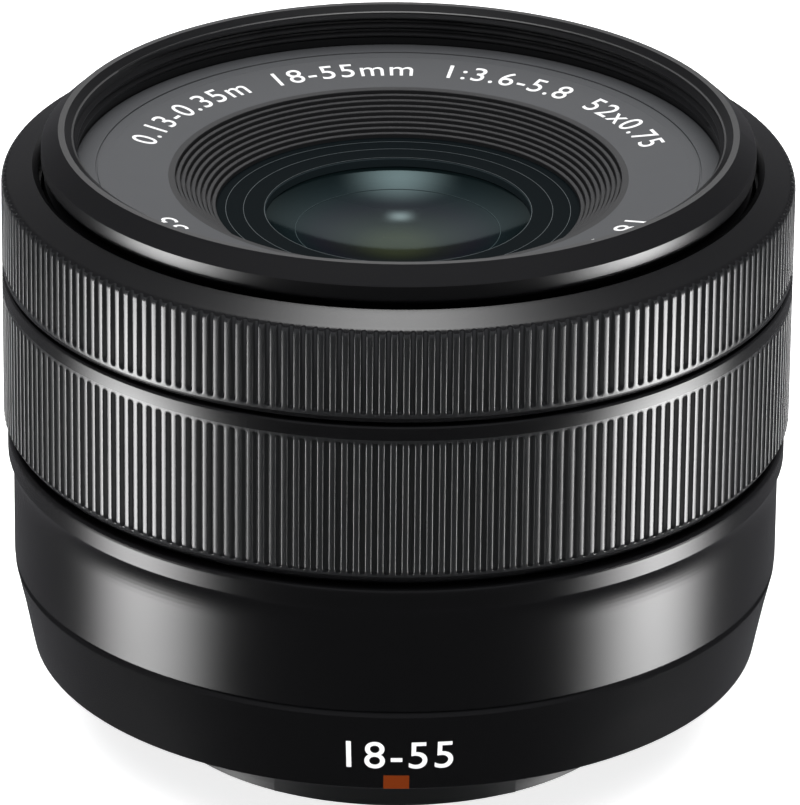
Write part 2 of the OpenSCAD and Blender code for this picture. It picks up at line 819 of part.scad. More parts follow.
cell_wall = 1.1;
cell_bot = floor_top - cell_len;
lens_1_r = cell_r - cell_wall;
lens_2_r = lens_1_r - 2.8;
lens_3_r = lens_2_r - 1;
lens_3_z = cell_bot + 0.8;
lens_2_z = lens_3_z + 2.8;
lens_1_z = lens_2_z + 3;
lens_1_front = lens_1_z + 6.3;
lens_1_curve_r = 42;

module front_cell() {
    color([0.08, 0.08, 0.085])
    turned([
        [lens_3_r - 1, cell_bot], [cell_r, cell_bot], [cell_r, floor_top],
        [cell_flange_r, floor_top], [cell_flange_r, floor_top + cell_flange_t],
        [cell_r, floor_top + cell_flange_t], [lens_1_r, floor_top - 0.5],
        [lens_1_r, lens_1_z], [lens_2_r, lens_1_z], [lens_2_r, lens_2_z],
        [lens_3_r, lens_2_z], [lens_3_r, lens_3_z], [lens_3_r - 1, lens_3_z]]);
}

module front_lens() {
    color([0.35, 0.45, 0.5, 0.5])
        lens_solid(lens_1_r, lens_1_z, lens_1_front, lens_1_curve_r, lens_1_front - 1.6, 16);
}

module second_lens() {
    color([0.35, 0.45, 0.5, 0.5]) lens_solid(lens_2_r, lens_2_z, lens_1_z - 0.1, 60, lens_1_z - 1.4, 30);
}

module third_lens() {
    color([0.35, 0.45, 0.5, 0.5]) lens_solid(lens_3_r, lens_3_z, lens_2_z - 0.1, 40, lens_3_z + 0.6, 60);
}

module front_retainer() {
    color([0.05, 0.05, 0.05])
    difference() {
        tube(lens_1_r, cone_hole_r + 0.1, lens_1_front - 3.4, lens_1_front - 1);
        translate([0, 0, lens_1_front - lens_1_curve_r]) sphere(r = lens_1_curve_r, $fn = 128);
    }
}

carriage_top = iris_z;
carriage_wall = 1.2;
carriage_lens_r = 8;
carriage_lens_z = carriage_bot + 4.9;
shift_z = carriage_bot + 1.2;
shift_t = 1.1;
shift_lens_r = 7;
shift_pocket = 13;

module zoom_carriage() {
    color([0.1, 0.1, 0.105])
    difference() {
        union() {
            tube(carriage_r, carriage_r - carriage_wall, carriage_bot, carriage_top);
            tube(carriage_r - 1, carriage_lens_r - 0.8, carriage_lens_z - 0.8, carriage_lens_z);
            tube(carriage_lens_r + 1.2, carriage_lens_r, carriage_lens_z - 0.1, carriage_top);
            tube(carriage_r - 1, iris_rim_r - 1.2, carriage_top - 1, carriage_top);
            for (y = [-1, 1])
                translate([-rail_half, y * rail_y - rail_w / 2, shift_z + shift_t - rail_h])
                    cube([2 * rail_half, rail_w, carriage_lens_z - 0.4 - shift_z - shift_t + rail_h]);
        }
        radial_pins(carriage_r - 2, carriage_r + 1, carriage_pin_z, pin_r, carriage_shift);
    }
}

module carriage_pins() {
    color([0.6, 0.6, 0.62])
        radial_pins(carriage_r - carriage_wall, cam_in_r + groove_depth - pin_gap, carriage_pin_z,
            pin_r, carriage_shift);
}

module carriage_lens() {
    color([0.4, 0.45, 0.5, 0.5])
        lens_solid(carriage_lens_r, carriage_lens_z, carriage_lens_z + 2.6, 24, carriage_lens_z + 0.4, 50);
}

rail_half = 9;
rail_h = 0.5;
rail_room = rail_half + shift_travel + 0.6;
rail_y = 11.5;
rail_w = 1;
shift_half = 13.4;

// Outer frame of the stabiliser; its grooves run on the rails of the carriage
module shift_x_frame() {
    color([0.2, 0.2, 0.21])
    difference() {
        translate([0, 0, shift_z])
            cylinder(r = shift_half + 3, h = shift_t);
        translate([0, 0, shift_z - 1]) cylinder(r = shift_lens_r + 1 + shift_travel + 1.2, h = shift_t + 2);
        for (y = [-1, 1])
            translate([-rail_room, y * rail_y - rail_w / 2 - run_gap, shift_z + shift_t - rail_h - run_gap])
                cube([2 * rail_room, rail_w + 2 * run_gap, 2]);
        for (x = [-1, 1])
            translate([x * rail_y - rail_w / 2, -5, shift_z - 1])
                cube([rail_w, 10, 1.4]);
    }
}

// Inner frame of the stabiliser; its rails run in the grooves of the outer frame
module shift_y_frame() {
    low = carriage_bot + 0.2;
    color([0.24, 0.24, 0.25])
    difference() {
        union() {
            translate([0, 0, low]) cylinder(r = shift_lens_r + 5.6, h = shift_z - 0.2 - low);
            translate([0, 0, low]) cylinder(r = shift_lens_r + 1, h = shift_z + shift_t - low);
            for (x = [-1, 1])
                translate([x * rail_y - rail_w / 2 + run_gap, -4, shift_z - 0.4])
                    cube([rail_w - 2 * run_gap, 8, 0.7]);
        }
        translate([0, 0, low - 1]) cylinder(r = shift_lens_r - 0.7, h = 6);
        translate([0, 0, shift_z]) cylinder(r = shift_lens_r, h = 4);
    }
}

module shift_lens() {
    color([0.4, 0.45, 0.5, 0.5])
        lens_solid(shift_lens_r, shift_z, shift_z + 2.1, 26, shift_z + 0.7, 40);
}

module iris_base() {
    color([0.12, 0.12, 0.12]) {
        tube(iris_rim_r, iris_open_r + 0.3, iris_z, iris_z + iris_plate_t);
        tube(iris_rim_r, iris_ring_r + 0.15, iris_z + iris_plate_t - 0.1, cover_z);
        for (k = [0:blades - 1]) rotate([0, 0, 360 * k / blades])
            translate([pivot_circle_r, 0, iris_z + iris_plate_t - 0.1])
                cylinder(r = blade_pin_r, h = cover_z - iris_z - iris_plate_t + 0.1, $fn = 32);
    }
}

module iris_ring() {
    color([0.3, 0.3, 0.31])
    difference() {
        tube(iris_ring_r, pivot_circle_r + 0.65, iris_ring_z, iris_ring_z + iris_ring_t);
        for (k = [0:blades - 1]) rotate([0, 0, 360 * k / blades])
            translate([drive_low_r - blade_hole_r, -blade_hole_r, iris_ring_z - 1])
                cube([drive_r - drive_low_r + 2 * blade_hole_r, 2 * blade_hole_r, 3]);
    }
}

module iris_cover() {
    color([0.05, 0.05, 0.05])
        tube(iris_rim_r, iris_open_r + 0.3, cover_z, cover_z + cover_t);
}

module iris_blade(k) {
    z = blade_z0 + (k - 1) * blade_pitch;
    color([0.08, 0.08, 0.09])
    rotate([0, 0, 360 * (k - 1) / blades])
    difference() {
        union() {
            translate([0, 0, z]) linear_extrude(height = blade_t) blade_2d();
            translate([drive_r, 0, z])
                cylinder(r = blade_pin_r, h = iris_ring_z + iris_ring_t - z, $fn = 32);
        }
        translate([pivot_circle_r, 0, z - 1]) cylinder(r = blade_hole_r, h = 2, $fn = 32);
    }
}

module blade_2d() {
    n = 24;
    band_end = 95;
    band_r = pivot_circle_r - 1.6;
    polygon(concat(
        [for (i = [0:n]) polar(band_r, band_end * i / n)],
        [for (i = [n:-1:0]) polar(iris_open_r, -4 + (band_end + 4) * i / n)],
        [polar(band_r - 1, -5)]));
    translate([pivot_circle_r - 2.6, -0.9]) square([2.6 + drive_arm, 1.8]);
    translate([pivot_circle_r, 0]) circle(r = 1, $fn = 32);
    translate([drive_r, 0]) circle(r = 0.8, $fn = 32);
}

module iris_blade_1() { iris_blade(1); }
module iris_blade_2() { iris_blade(2); }
module iris_blade_3() { iris_blade(3); }
module iris_blade_4() { iris_blade(4); }
module iris_blade_5() { iris_blade(5); }
module iris_blade_6() { iris_blade(6); }
module iris_blade_7() { iris_blade(7); }

focus_lens_r = 8.5;
focus_wall = 1.2;

module focus_arms(r_end, angle, r_eye) {
    rotate([0, 0, angle]) {
        translate([focus_lens_r + 0.4, -0.9, focus_z]) cube([r_end - focus_lens_r - 0.4, 1.8, focus_t]);
        translate([r_end, 0, focus_z]) cylinder(r = r_eye, h = focus_t, $fn = 32);
    }
}

module focus_carriage() {
    color([0.18, 0.18, 0.19])
    difference() {
        union() {
            tube(focus_lens_r + focus_wall, focus_lens_r - 0.6, focus_z - 0.2, focus_z + 0.3);
            tube(focus_lens_r + focus_wall, focus_lens_r, focus_z - 0.2, focus_z + focus_h);
            for (a = rod_angles) focus_arms(rod_circle_r, a, rod_r + 0.8);
            focus_arms(screw_circle, screw_a, screw_r + 0.8);
        }
        for (a = rod_angles) rotate([0, 0, a])
            translate([rod_circle_r, 0, focus_z - 1]) cylinder(r = rod_r + run_gap, h = 5, $fn = 32);
        rotate([0, 0, screw_a])
            translate([screw_circle, 0, focus_z - 1]) cylinder(r = screw_r + run_gap, h = 5, $fn = 32);
    }
}

module focus_lens() {
    color([0.4, 0.45, 0.5, 0.5])
        lens_solid(focus_lens_r, focus_z + 0.3, focus_z + 2.1, 30, focus_z + 1.0, 18);
}

module guide_rods() {
    color([0.7, 0.7, 0.72])
    for (a = rod_angles) rotate([0, 0, a])
        translate([rod_circle_r, 0, skirt_floor_top])
            cylinder(r = rod_r, h = rod_top - skirt_floor_top, $fn = 32);
}

focus_motor_top = focus_z - 0.4;

module lead_screw() {
    color([0.7, 0.7, 0.72])
    rotate([0, 0, screw_a])
        translate([screw_circle, 0, focus_motor_top + run_gap]) {
            cylinder(r = screw_r, h = rod_top - focus_motor_top - run_gap, $fn = 32);
        }
}

module focus_motor() {
    color([0.55, 0.55, 0.57])
    rotate([0, 0, screw_a])
        translate([focus_motor_c, 0, rear_plate_top]) {
            cylinder(r = focus_motor_r, h = focus_motor_top - rear_plate_top, $fn = 48);
        }
}

module rear_frame() {
    color([0.06, 0.06, 0.06])
    difference() {
        union() {
            tube(rear_bore_r + rear_wall, rear_bore_r, -0.9, rear_plate_top + 0.6);
            tube(skirt_in_r - 0.2, rear_bore_r + 0.5, skirt_floor_top, rear_plate_top);
            tube(rear_bore_r + 0.2, rear_bore_r - 0.8, -0.9, -0.3);
        }
        for (a = rod_angles) rotate([0, 0, a])
            translate([rod_circle_r, 0, skirt_floor_top - 1]) cylinder(r = rod_r, h = 4, $fn = 32);
    }
}

module rear_lens() {
    color([0.4, 0.45, 0.5, 0.5])
        lens_solid(rear_bore_r, -0.3, 4.2, 30, 0.4, 60);
}

board_t = 0.6;
board_in_r = skirt_in_r - 8.5;

module main_board() {
    color([0.05, 0.2, 0.12])
    difference() {
        tube(skirt_in_r - 0.4, board_in_r, rear_plate_top, rear_plate_top + board_t);
        rotate([0, 0, motor_a])
            translate([pinion_c, 0, 0]) cylinder(r = motor_r + motor_gap, h = 12, $fn = 48);
        rotate([0, 0, screw_a])
            translate([focus_motor_c, 0, 0]) cylinder(r = focus_motor_r + motor_gap, h = 12, $fn = 48);
    }
}

chip_circle_r = (board_in_r + skirt_in_r) / 2;
chip_w = 3.5;
chip_l = 4.5;

module board_chips() {
    color([0.03, 0.03, 0.03])
    for (a = [20, 60, 100, 140, 260, 310])
        rotate([0, 0, a])
            translate([chip_circle_r - chip_w / 2, -chip_l / 2, rear_plate_top + board_t])
                cube([chip_w, chip_l, 1]);
}

control_ring();
encoder_strip();
zoom_ring();
zoom_wiper();
rear_housing();
base_skirt();
index_mark();
bayonet_mount();
mount_screws();
rear_baffle();
contact_block();
contact_pins();
fixed_sleeve();
ring_spacer();
ring_clip();
dust_seal();
ring_sensor();
chassis();
guide_tube();
cam_ring();
zoom_motor();
zoom_pinion();
middle_barrel();
middle_pins();
front_barrel();
front_pins();
name_plate();
stepped_cone();
front_cell();
front_lens();
second_lens();
third_lens();
front_retainer();
zoom_carriage();
carriage_pins();
carriage_lens();
iris_base();
iris_ring();
iris_cover();
iris_blade_1();
iris_blade_2();
iris_blade_3();
iris_blade_4();
iris_blade_5();
iris_blade_6();
iris_blade_7();
shift_x_frame();
shift_y_frame();
shift_lens();
focus_carriage();
focus_lens();
guide_rods();
lead_screw();
focus_motor();
rear_frame();
rear_lens();
main_board();
board_chips();
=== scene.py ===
# %% [markdown]
# # A compact power-zoom lens
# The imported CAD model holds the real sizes, the pieces and the joints. This script is the other
# half of the part: it dresses that model, one finish and one fine shape at a time, until it looks
# like the real lens. The first step loads the model as a fixed frame. It is in metres, +Z points
# out of the front glass, and the index mark faces -Y.

# %% Load the frame
import json
import math

import bmesh
import bpy
from mathutils import Matrix, Vector


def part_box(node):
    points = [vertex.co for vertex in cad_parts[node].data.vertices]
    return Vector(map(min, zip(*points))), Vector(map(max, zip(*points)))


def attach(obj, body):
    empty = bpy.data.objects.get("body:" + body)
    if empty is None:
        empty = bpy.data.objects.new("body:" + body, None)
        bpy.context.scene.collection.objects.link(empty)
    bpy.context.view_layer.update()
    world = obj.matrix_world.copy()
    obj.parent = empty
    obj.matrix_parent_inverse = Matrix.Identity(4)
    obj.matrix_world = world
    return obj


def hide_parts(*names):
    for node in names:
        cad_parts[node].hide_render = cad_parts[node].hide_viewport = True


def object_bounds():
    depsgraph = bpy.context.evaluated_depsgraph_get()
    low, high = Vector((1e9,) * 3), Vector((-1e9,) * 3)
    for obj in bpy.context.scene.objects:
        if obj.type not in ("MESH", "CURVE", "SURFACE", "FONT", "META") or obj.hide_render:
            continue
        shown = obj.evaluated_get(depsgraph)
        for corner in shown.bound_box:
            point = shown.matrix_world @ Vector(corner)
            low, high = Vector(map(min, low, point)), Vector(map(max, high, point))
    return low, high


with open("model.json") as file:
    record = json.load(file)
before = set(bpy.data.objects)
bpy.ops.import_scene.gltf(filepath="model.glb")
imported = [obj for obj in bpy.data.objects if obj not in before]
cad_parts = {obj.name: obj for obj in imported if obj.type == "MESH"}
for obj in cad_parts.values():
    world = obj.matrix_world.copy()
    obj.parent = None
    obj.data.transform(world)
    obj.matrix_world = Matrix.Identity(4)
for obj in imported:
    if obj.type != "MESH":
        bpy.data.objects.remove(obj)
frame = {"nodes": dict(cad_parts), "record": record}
nodes = frame["nodes"]
cad_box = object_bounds()
MM = 0.001
print("loaded", len(nodes), "CAD nodes")

# %% [markdown]
# ## The camera
# A product shot is taken from far away with a long lens, which keeps circles from looking bulged.
# The distance, height and roll below make the circles of the model fall on those of the photograph,
# and a small step to the left puts the index mark where the photograph has it. A constraint could
# aim the camera too, but a matrix also takes the roll.

# %% Camera
IMAGE_W = 800
IMAGE_H = 805
FOCAL_PX = 8141.6
SENSOR_MM = 36
VIEW_DISTANCE = 0.650
VIEW_TARGET = Vector((0.0003, 0, 0.02054))
VIEW_ELEVATION = math.radians(24.53)
VIEW_ROLL = math.radians(0.576)
VIEW_AZIMUTH = math.radians(-0.6)

camera = bpy.data.objects.new("camera", bpy.data.cameras.new("camera"))
bpy.context.scene.collection.objects.link(camera)
camera.data.sensor_width = SENSOR_MM
camera.data.lens = FOCAL_PX / max(IMAGE_W, IMAGE_H) * SENSOR_MM
camera.data.clip_start = 0.01
camera.data.clip_end = 50
back = Vector((0, -math.cos(VIEW_ELEVATION), math.sin(VIEW_ELEVATION)))
tilt = Matrix.Rotation(math.pi / 2 - VIEW_ELEVATION, 4, "X")
roll = Matrix.Rotation(VIEW_ROLL, 4, "Z")
walk = Matrix.Rotation(VIEW_AZIMUTH, 4, "Z")
camera.matrix_world = walk @ Matrix.Translation(VIEW_TARGET + back * VIEW_DISTANCE) @ tilt @ roll
bpy.context.scene.camera = camera
bpy.context.scene.view_settings.view_transform = "Standard"
print("camera lens", round(camera.data.lens, 1), "mm")

# %% [markdown]
# ## Colours and nodes
# Colours are written as sRGB hex values, the way a paint program shows them, and one function turns
# them into the linear values that a shader works in. A second function adds a node, fills in its
# settings and plugs in its links, so that a material below reads as a list of what it is made of.
# A third one starts a material from its shader's settings.

# %% Colour and node helpers
def linear(hex_colour):
    channels = [int(hex_colour[i:i + 2], 16) / 255 for i in (1, 3, 5)]
    return tuple(c / 12.92 if c <= 0.04045 else ((c + 0.055) / 1.055) ** 2.4 for c in channels) + (1.0,)


def add(tree, kind, settings, links):
    node = tree.nodes.new(kind)
    for key, value in settings.items():
        if isinstance(key, int) or key in node.inputs:
            node.inputs[key].default_value = value
        else:
            setattr(node, key, value)
    for key, source in links.items():
        tree.links.new(source, node.inputs[key])
    return node


def start(name, settings):
    material = bpy.data.materials.new(name)
    material.use_nodes = True
    shader = material.node_tree.nodes["Principled BSDF"]
    for key, value in settings.items():
        shader.inputs[key].default_value = value
    return material, material.node_tree, shader


finishes = {}
print("white is", linear("#ffffff"))

# %% [markdown]
# ## The studio floor
# The lens stands on its mount's end on matt white paper. Seen from above, the paper fills the
# picture, so its own colour makes the white background. It glows, like a light table, which leaves
# the shadow pale. The paper stays out of reflections, as if the lens stood on a clear plate:
# a black lens on white paper would otherwise mirror it and turn grey.

# %% Floor
FLOOR_HALF = 6.0
CORNERS = ((-1, -1), (1, -1), (1, 1), (-1, 1))

floor_z = cad_box[0][2]
floor_mesh = bpy.data.meshes.new("floor")
floor_mesh.from_pydata([(x * FLOOR_HALF, y * FLOOR_HALF, floor_z) for x, y in CORNERS], [], [(0, 1, 2, 3)])
floor = bpy.data.objects.new("floor", floor_mesh)
bpy.context.scene.collection.objects.link(floor)
floor_mesh.materials.append(start("matt white paper", {
    "Base Color": linear("#fafafa"), "Roughness": 1.0, "Specular IOR Level": 0.0,
    "Emission Color": linear("#ffffff"), "Emission Strength": 0.80})[0])
floor.visible_glossy = False
print("floor at", round(floor_z / MM, 2), "mm")

# %% [markdown]
# ## The sky of the studio
# The room is dim. Black plastic shows little of its own colour and much of what it mirrors, so a dim
# room is what keeps it black. It is lighter above than below the table, below it is lightest at
# the back, and above it is lightest in front. The world's own direction picks between these greys.

# %% World
world = bpy.data.worlds.new("studio")
world.use_nodes = True
bpy.context.scene.world = world
tree = world.node_tree
ray = add(tree, "ShaderNodeTexCoord", {}, {})
way = add(tree, "ShaderNodeSeparateXYZ", {}, {"Vector": ray.outputs["Generated"]})
above = add(tree, "ShaderNodeMapRange", {"From Min": -0.05, "From Max": 0.10}, {"Value": way.outputs["Z"]})
behind = add(tree, "ShaderNodeMapRange", {"From Min": -0.3, "From Max": 0.6}, {"Value": way.outputs["Y"]})
low = add(tree, "ShaderNodeMix", {"data_type": "RGBA", 6: linear("#161617"), 7: linear("#67676a")},
          {0: behind.outputs["Result"]})
high = add(tree, "ShaderNodeMix", {"data_type": "RGBA", 6: linear("#7c7c80"), 7: linear("#5a5a5d")},
           {0: behind.outputs["Result"]})
room = add(tree, "ShaderNodeMix", {"data_type": "RGBA"},
           {0: above.outputs["Result"], 6: low.outputs[2], 7: high.outputs[2]})
tree.links.new(room.outputs[2], tree.nodes["Background"].inputs["Color"])
print("world made")

# %% [markdown]
# ## The big softbox
# One large lamp overhead does the lighting. It is so wide that shadows stay soft and pale. The lamp is
# kept out of reflections: what the lens mirrors is set up apart, with the cards of the next steps.

# %% Lamp
FILL_SIZE = 2.0
FILL_HEIGHT = 1.2
FILL_RADIANCE = 2.6

fill = bpy.data.lights.new("fill_box", "AREA")
fill.shape = "SQUARE"
fill.size = FILL_SIZE
fill.energy = FILL_RADIANCE * math.pi * FILL_SIZE ** 2
fill_box = bpy.data.objects.new("fill_box", fill)
fill_box.location = (0, 0, FILL_HEIGHT)
fill_box.visible_glossy = False
fill_box.visible_transmission = False
bpy.context.scene.collection.objects.link(fill_box)
print("lamp of", round(fill.energy), "W")

# %% [markdown]
# ## The glow of a card
# Photographers give black things their shape with white cards. A lamp could make such a highlight
# too, but it would also light the lens. So a card here is a glowing sheet, which fades from its
# middle to its edges as a diffuser does. It is see-through as well, so that a dark edge of a card
# never shows in a reflection.

# %% Card material
def card_glow(name, strength):
    material = bpy.data.materials.new(name + " glow")
    material.use_nodes = True
    material.cycles.emission_sampling = "NONE"
    tree = material.node_tree
    tree.nodes.clear()
    place = add(tree, "ShaderNodeUVMap", {"uv_map": "cover"}, {})
    sides = add(tree, "ShaderNodeSeparateXYZ", {}, {"Vector": place.outputs["UV"]})
    fades = []
    for axis in ("X", "Y"):
        shifted = add(tree, "ShaderNodeMath", {"operation": "SUBTRACT", 1: 0.5}, {0: sides.outputs[axis]})
        off = add(tree, "ShaderNodeMath", {"operation": "ABSOLUTE"}, {0: shifted.outputs[0]})
        soft = add(tree, "ShaderNodeMapRange", {
            "interpolation_type": "SMOOTHSTEP", "From Min": 0.5, "From Max": 0.0}, {"Value": off.outputs[0]})
        fades.append(soft.outputs[0])
    fade = add(tree, "ShaderNodeMath", {"operation": "MULTIPLY"}, {0: fades[0], 1: fades[1]})
    level = add(tree, "ShaderNodeMath", {"operation": "MULTIPLY", 1: strength}, {0: fade.outputs[0]})
    glow = add(tree, "ShaderNodeEmission", {}, {"Strength": level.outputs[0]})
    clear = add(tree, "ShaderNodeBsdfTransparent", {}, {})
    both = add(tree, "ShaderNodeAddShader", {}, {0: glow.outputs[0], 1: clear.outputs[0]})
    add(tree, "ShaderNodeOutputMaterial", {}, {"Surface": both.outputs[0]})
    return material


print("card material ready")

# %% [markdown]
# ## Cards to mirror
# Seen from above, an upright wall mirrors what is below the horizon, so the two side cards stand
# lower than the table top and give the tall highlights left and right. A card high up at the back
# lights the ring's shoulder, a wide one behind brightens the faces that look up, and a small one
# makes the spot in the front glass. Only reflections see these sheets. Angles are in degrees, and
# half widths and half heights in metres.

# %% Cards
CARD_DISTANCE = 0.5
CARD_AIM = Vector((0, 0, 0.025))


def card(name, azimuth, elevation, spread, tall, strength):
    azimuth, elevation = math.radians(azimuth), math.radians(elevation)
    out = Vector((math.sin(azimuth) * math.cos(elevation), -math.cos(azimuth) * math.cos(elevation),
                  math.sin(elevation)))
    side = Vector((math.cos(azimuth), math.sin(azimuth), 0))
    rise = out.cross(side).normalized()
    centre = CARD_AIM + out * CARD_DISTANCE
    mesh = bpy.data.meshes.new(name)
    mesh.from_pydata([centre + side * (x * spread) + rise * (y * tall) for x, y in CORNERS], [],
                     [(0, 1, 2, 3)])
    cover = mesh.uv_layers.new(name="cover")
    for loop, (x, y) in zip(cover.data, CORNERS):
        loop.uv = ((x + 1) / 2, (y + 1) / 2)
    mesh.materials.append(card_glow(name, strength))
    sheet = bpy.data.objects.new(name, mesh)
    bpy.context.scene.collection.objects.link(sheet)
    sheet.visible_camera = False
    sheet.visible_diffuse = False
    sheet.visible_shadow = False


card("left_card", azimuth=-77, elevation=-21, spread=0.25, tall=0.12, strength=16.0)
card("right_card", azimuth=79, elevation=-21, spread=0.25, tall=0.12, strength=18.5)
card("top_card", azimuth=180, elevation=67, spread=0.13, tall=0.14, strength=10.0)
card("back_card", azimuth=180, elevation=36, spread=0.25, tall=0.28, strength=1.15)
card("back_spot", azimuth=180, elevation=46, spread=0.030, tall=0.036, strength=9.0)
print("cards made")

# %% [markdown]
# ## Grain and gloss
# A mould, a spray gun or a tool leaves a fine grain on a surface, which turns a mirror highlight
# into a satin one. A noise at the grain's own size, used as bump, gives that. A second, slow noise
# over several millimetres varies the gloss a little, as handling does.

# %% Grained finish
HANDLED_MM = 7.0


def grained(name, settings, grain_mm, height_mm, rough):
    material, tree, shader = start(name, settings)
    place = add(tree, "ShaderNodeTexCoord", {}, {})
    grain = add(tree, "ShaderNodeTexNoise", {"Scale": 1 / (grain_mm * MM), "Detail": 2.0},
                {"Vector": place.outputs["Object"]})
    bump = add(tree, "ShaderNodeBump", {"Strength": 0.5, "Distance": height_mm * MM},
               {"Height": grain.outputs["Fac"]})
    tree.links.new(bump.outputs["Normal"], shader.inputs["Normal"])
    handled = add(tree, "ShaderNodeTexNoise", {"Scale": 1 / (HANDLED_MM * MM), "Detail": 3.0},
                  {"Vector": place.outputs["Object"]})
    gloss = add(tree, "ShaderNodeMapRange", {"To Min": rough[0], "To Max": rough[1]},
                {"Value": handled.outputs["Fac"]})
    tree.links.new(gloss.outputs["Result"], shader.inputs["Roughness"])
    return material


print("gloss varies over", HANDLED_MM, "mm")

# %% [markdown]
# ## Moulded black plastics
# The rings, shells and barrels are polycarbonate from a spark-eroded mould. Its grain is finer than
# a tenth of a millimetre. It is drawn at 0.16 mm, because finer would be lost between pixels. The
# fluted zones of the rings are painted paler than the plain bands: a painted sheen for the highlights they
# catch.

# %% Moulded plastics
MOULD_GRAIN = 0.16
MOULD_HEIGHT = 0.003
POLYCARBONATE_IOR = 1.58


def polycarbonate(place, colour, mirror, rough):
    return grained("moulded polycarbonate, " + place, {
        "Base Color": linear(colour), "IOR": POLYCARBONATE_IOR, "Specular IOR Level": mirror},
        MOULD_GRAIN, MOULD_HEIGHT, rough)


# Plain bands of the rings: black with a satin highlight.
finishes["ring_black"] = polycarbonate("ring", "#0c0c0d", 0.5, (0.23, 0.28))
# Flutes: a shade paler as painted sheen, with a stronger but softer gloss, so that the ribs stand out.
finishes["rib_black"] = polycarbonate("rib with painted sheen", "#191a1b", 0.9, (0.30, 0.36))
# Housing and skirt: the deepest black, with the crispest highlight.
finishes["shell_black"] = polycarbonate("shell", "#0b0b0c", 0.4, (0.22, 0.27))
# Barrels: a little greyer, with a softer highlight.
finishes["barrel_black"] = polycarbonate("barrel", "#0f0f10", 0.5, (0.26, 0.31))
# Mount: glass fibres leave a coarser grain and a grey sheen.
finishes["mount_black"] = grained("moulded glass-filled nylon, mount", {
    "Base Color": linear("#191a1b"), "IOR": 1.53, "Specular IOR Level": 0.4}, 0.20, 0.006, (0.34, 0.42))
# Cam ring and pinion: a smooth, waxy dark grey.
finishes["cam_plastic"] = grained("acetal, cam ring", {
    "Base Color": linear("#26262a"), "IOR": 1.48}, 0.20, 0.003, (0.30, 0.38))
# Frames inside: dull enough to swallow stray light.
finishes["inner_black"] = grained("matt black moulded polycarbonate", {
    "Base Color": linear("#0b0b0c"), "IOR": POLYCARBONATE_IOR, "Specular IOR Level": 0.3},
    0.20, 0.006, (0.55, 0.65))
print("plastics:", sorted(finishes))

# %% [markdown]
# ## Paints, felt and ink
# The name plate is sprayed with a satin grey paint, which has a faint pebble from the spray. The
# stepped cone is sprayed with a light-stopping matt black. Felt seals the rings. The index mark is
# a cast orange-brown resin, and the figures are pad-printed white ink.

# %% Paints and other soft finishes
# Name plate: an even mid grey without a clear highlight.
finishes["name_grey"] = grained("satin grey paint", {
    "Base Color": linear("#47484a"), "Specular IOR Level": 0.3}, 0.25, 0.003, (0.48, 0.56))
# Stepped cone: a dull black that turns dark grey where it faces up.
finishes["cone_black"] = grained("matt black paint", {
    "Base Color": linear("#2b2b2c"), "Specular IOR Level": 0.3}, 0.18, 0.004, (0.42, 0.52))
# Dust seal: no highlight, and a faint pale fuzz at its edges.
finishes["felt_black"] = grained("black felt", {
    "Base Color": linear("#0d0d0e"), "Sheen Weight": 0.3}, 0.12, 0.03, (0.9, 1.0))
# Index mark: a warm spot with hardly any gloss.
finishes["index_brown"] = grained("cast orange-brown resin", {
    "Base Color": linear("#6e2a02"), "Specular IOR Level": 0.05}, 0.20, 0.002, (0.35, 0.42))
# Figures: plain white with a little sheen.
white_ink = grained("pad-printed white ink", {
    "Base Color": linear("#f2f2f2"), "Specular IOR Level": 0.3}, 0.15, 0.002, (0.45, 0.55))
print("finishes so far:", len(finishes))

# %% [markdown]
# ## Metals and the board
# The guide tube is anodised aluminium, screws and rods are steel, the contacts are gold-plated
# brass, and the iris blades are blackened steel sheet. Each metal keeps the default IOR and has
# a fine grain from its making. The board is green solder mask over glass cloth.

# %% Metals and board
# Guide tube: silver grey with a soft sheen.
finishes["tube_alloy"] = grained("anodised aluminium", {
    "Base Color": linear("#8d9094"), "Metallic": 1.0}, 0.25, 0.002, (0.32, 0.40))
# Screws, rods, pins and motors: bright, with sharp highlights.
finishes["steel"] = grained("bright steel", {
    "Base Color": linear("#b9babb"), "Metallic": 1.0}, 0.20, 0.001, (0.20, 0.28))
# Contacts: warm, with the sharpest highlights.
finishes["gold"] = grained("gold-plated brass", {
    "Base Color": linear("#e0b45c"), "Metallic": 1.0}, 0.15, 0.001, (0.16, 0.24))
# Iris: dark grey with a dull metal sheen.
finishes["blade_black"] = grained("blackened steel sheet", {
    "Base Color": linear("#141416"), "Metallic": 0.6}, 0.12, 0.002, (0.35, 0.45))
# Main board: deep green under a thin clear gloss.
finishes["board_green"] = grained("green solder mask", {
    "Base Color": linear("#12452c"), "Coat Weight": 0.3}, 0.40, 0.006, (0.30, 0.40))
print("finishes so far:", len(finishes))

# %% [markdown]
# ## Coated glass
# A good coating lets nearly all light through a lens and mirrors only a little of it. Refraction
# would need many light bounces to come out clean, and with so little to bend against, the eye doesn't
# miss it. So a glass is a see-through sheet with a share of dark film mixed in. On the inner glasses
# the film mirrors with a violet tint. On the front glass it is only a breath of haze: a faint mirror in
# a clear sheet comes out grainy, so the rear face of that glass does the mirroring, further below.

# %% Glass
def coated(name, share, mirror):
    material, tree, shader = start(name, {
        "Base Color": linear("#1c2426"), "Roughness": 0.04, "IOR": 1.8,
        "Specular Tint": linear("#d4c4e0"), "Specular IOR Level": mirror})
    through = add(tree, "ShaderNodeBsdfTransparent", {"Color": linear("#dfe8e8")}, {})
    mix = add(tree, "ShaderNodeMixShader", {0: share}, {1: through.outputs[0], 2: shader.outputs[0]})
    tree.links.new(mix.outputs[0], tree.nodes["Material Output"].inputs["Surface"])
    return material


finishes["glass_front"] = coated("coated optical glass, front", share=0.05, mirror=0.0)
finishes["glass_inner"] = coated("coated optical glass, inner", share=0.55, mirror=0.5)
print("finishes in all:", len(finishes))

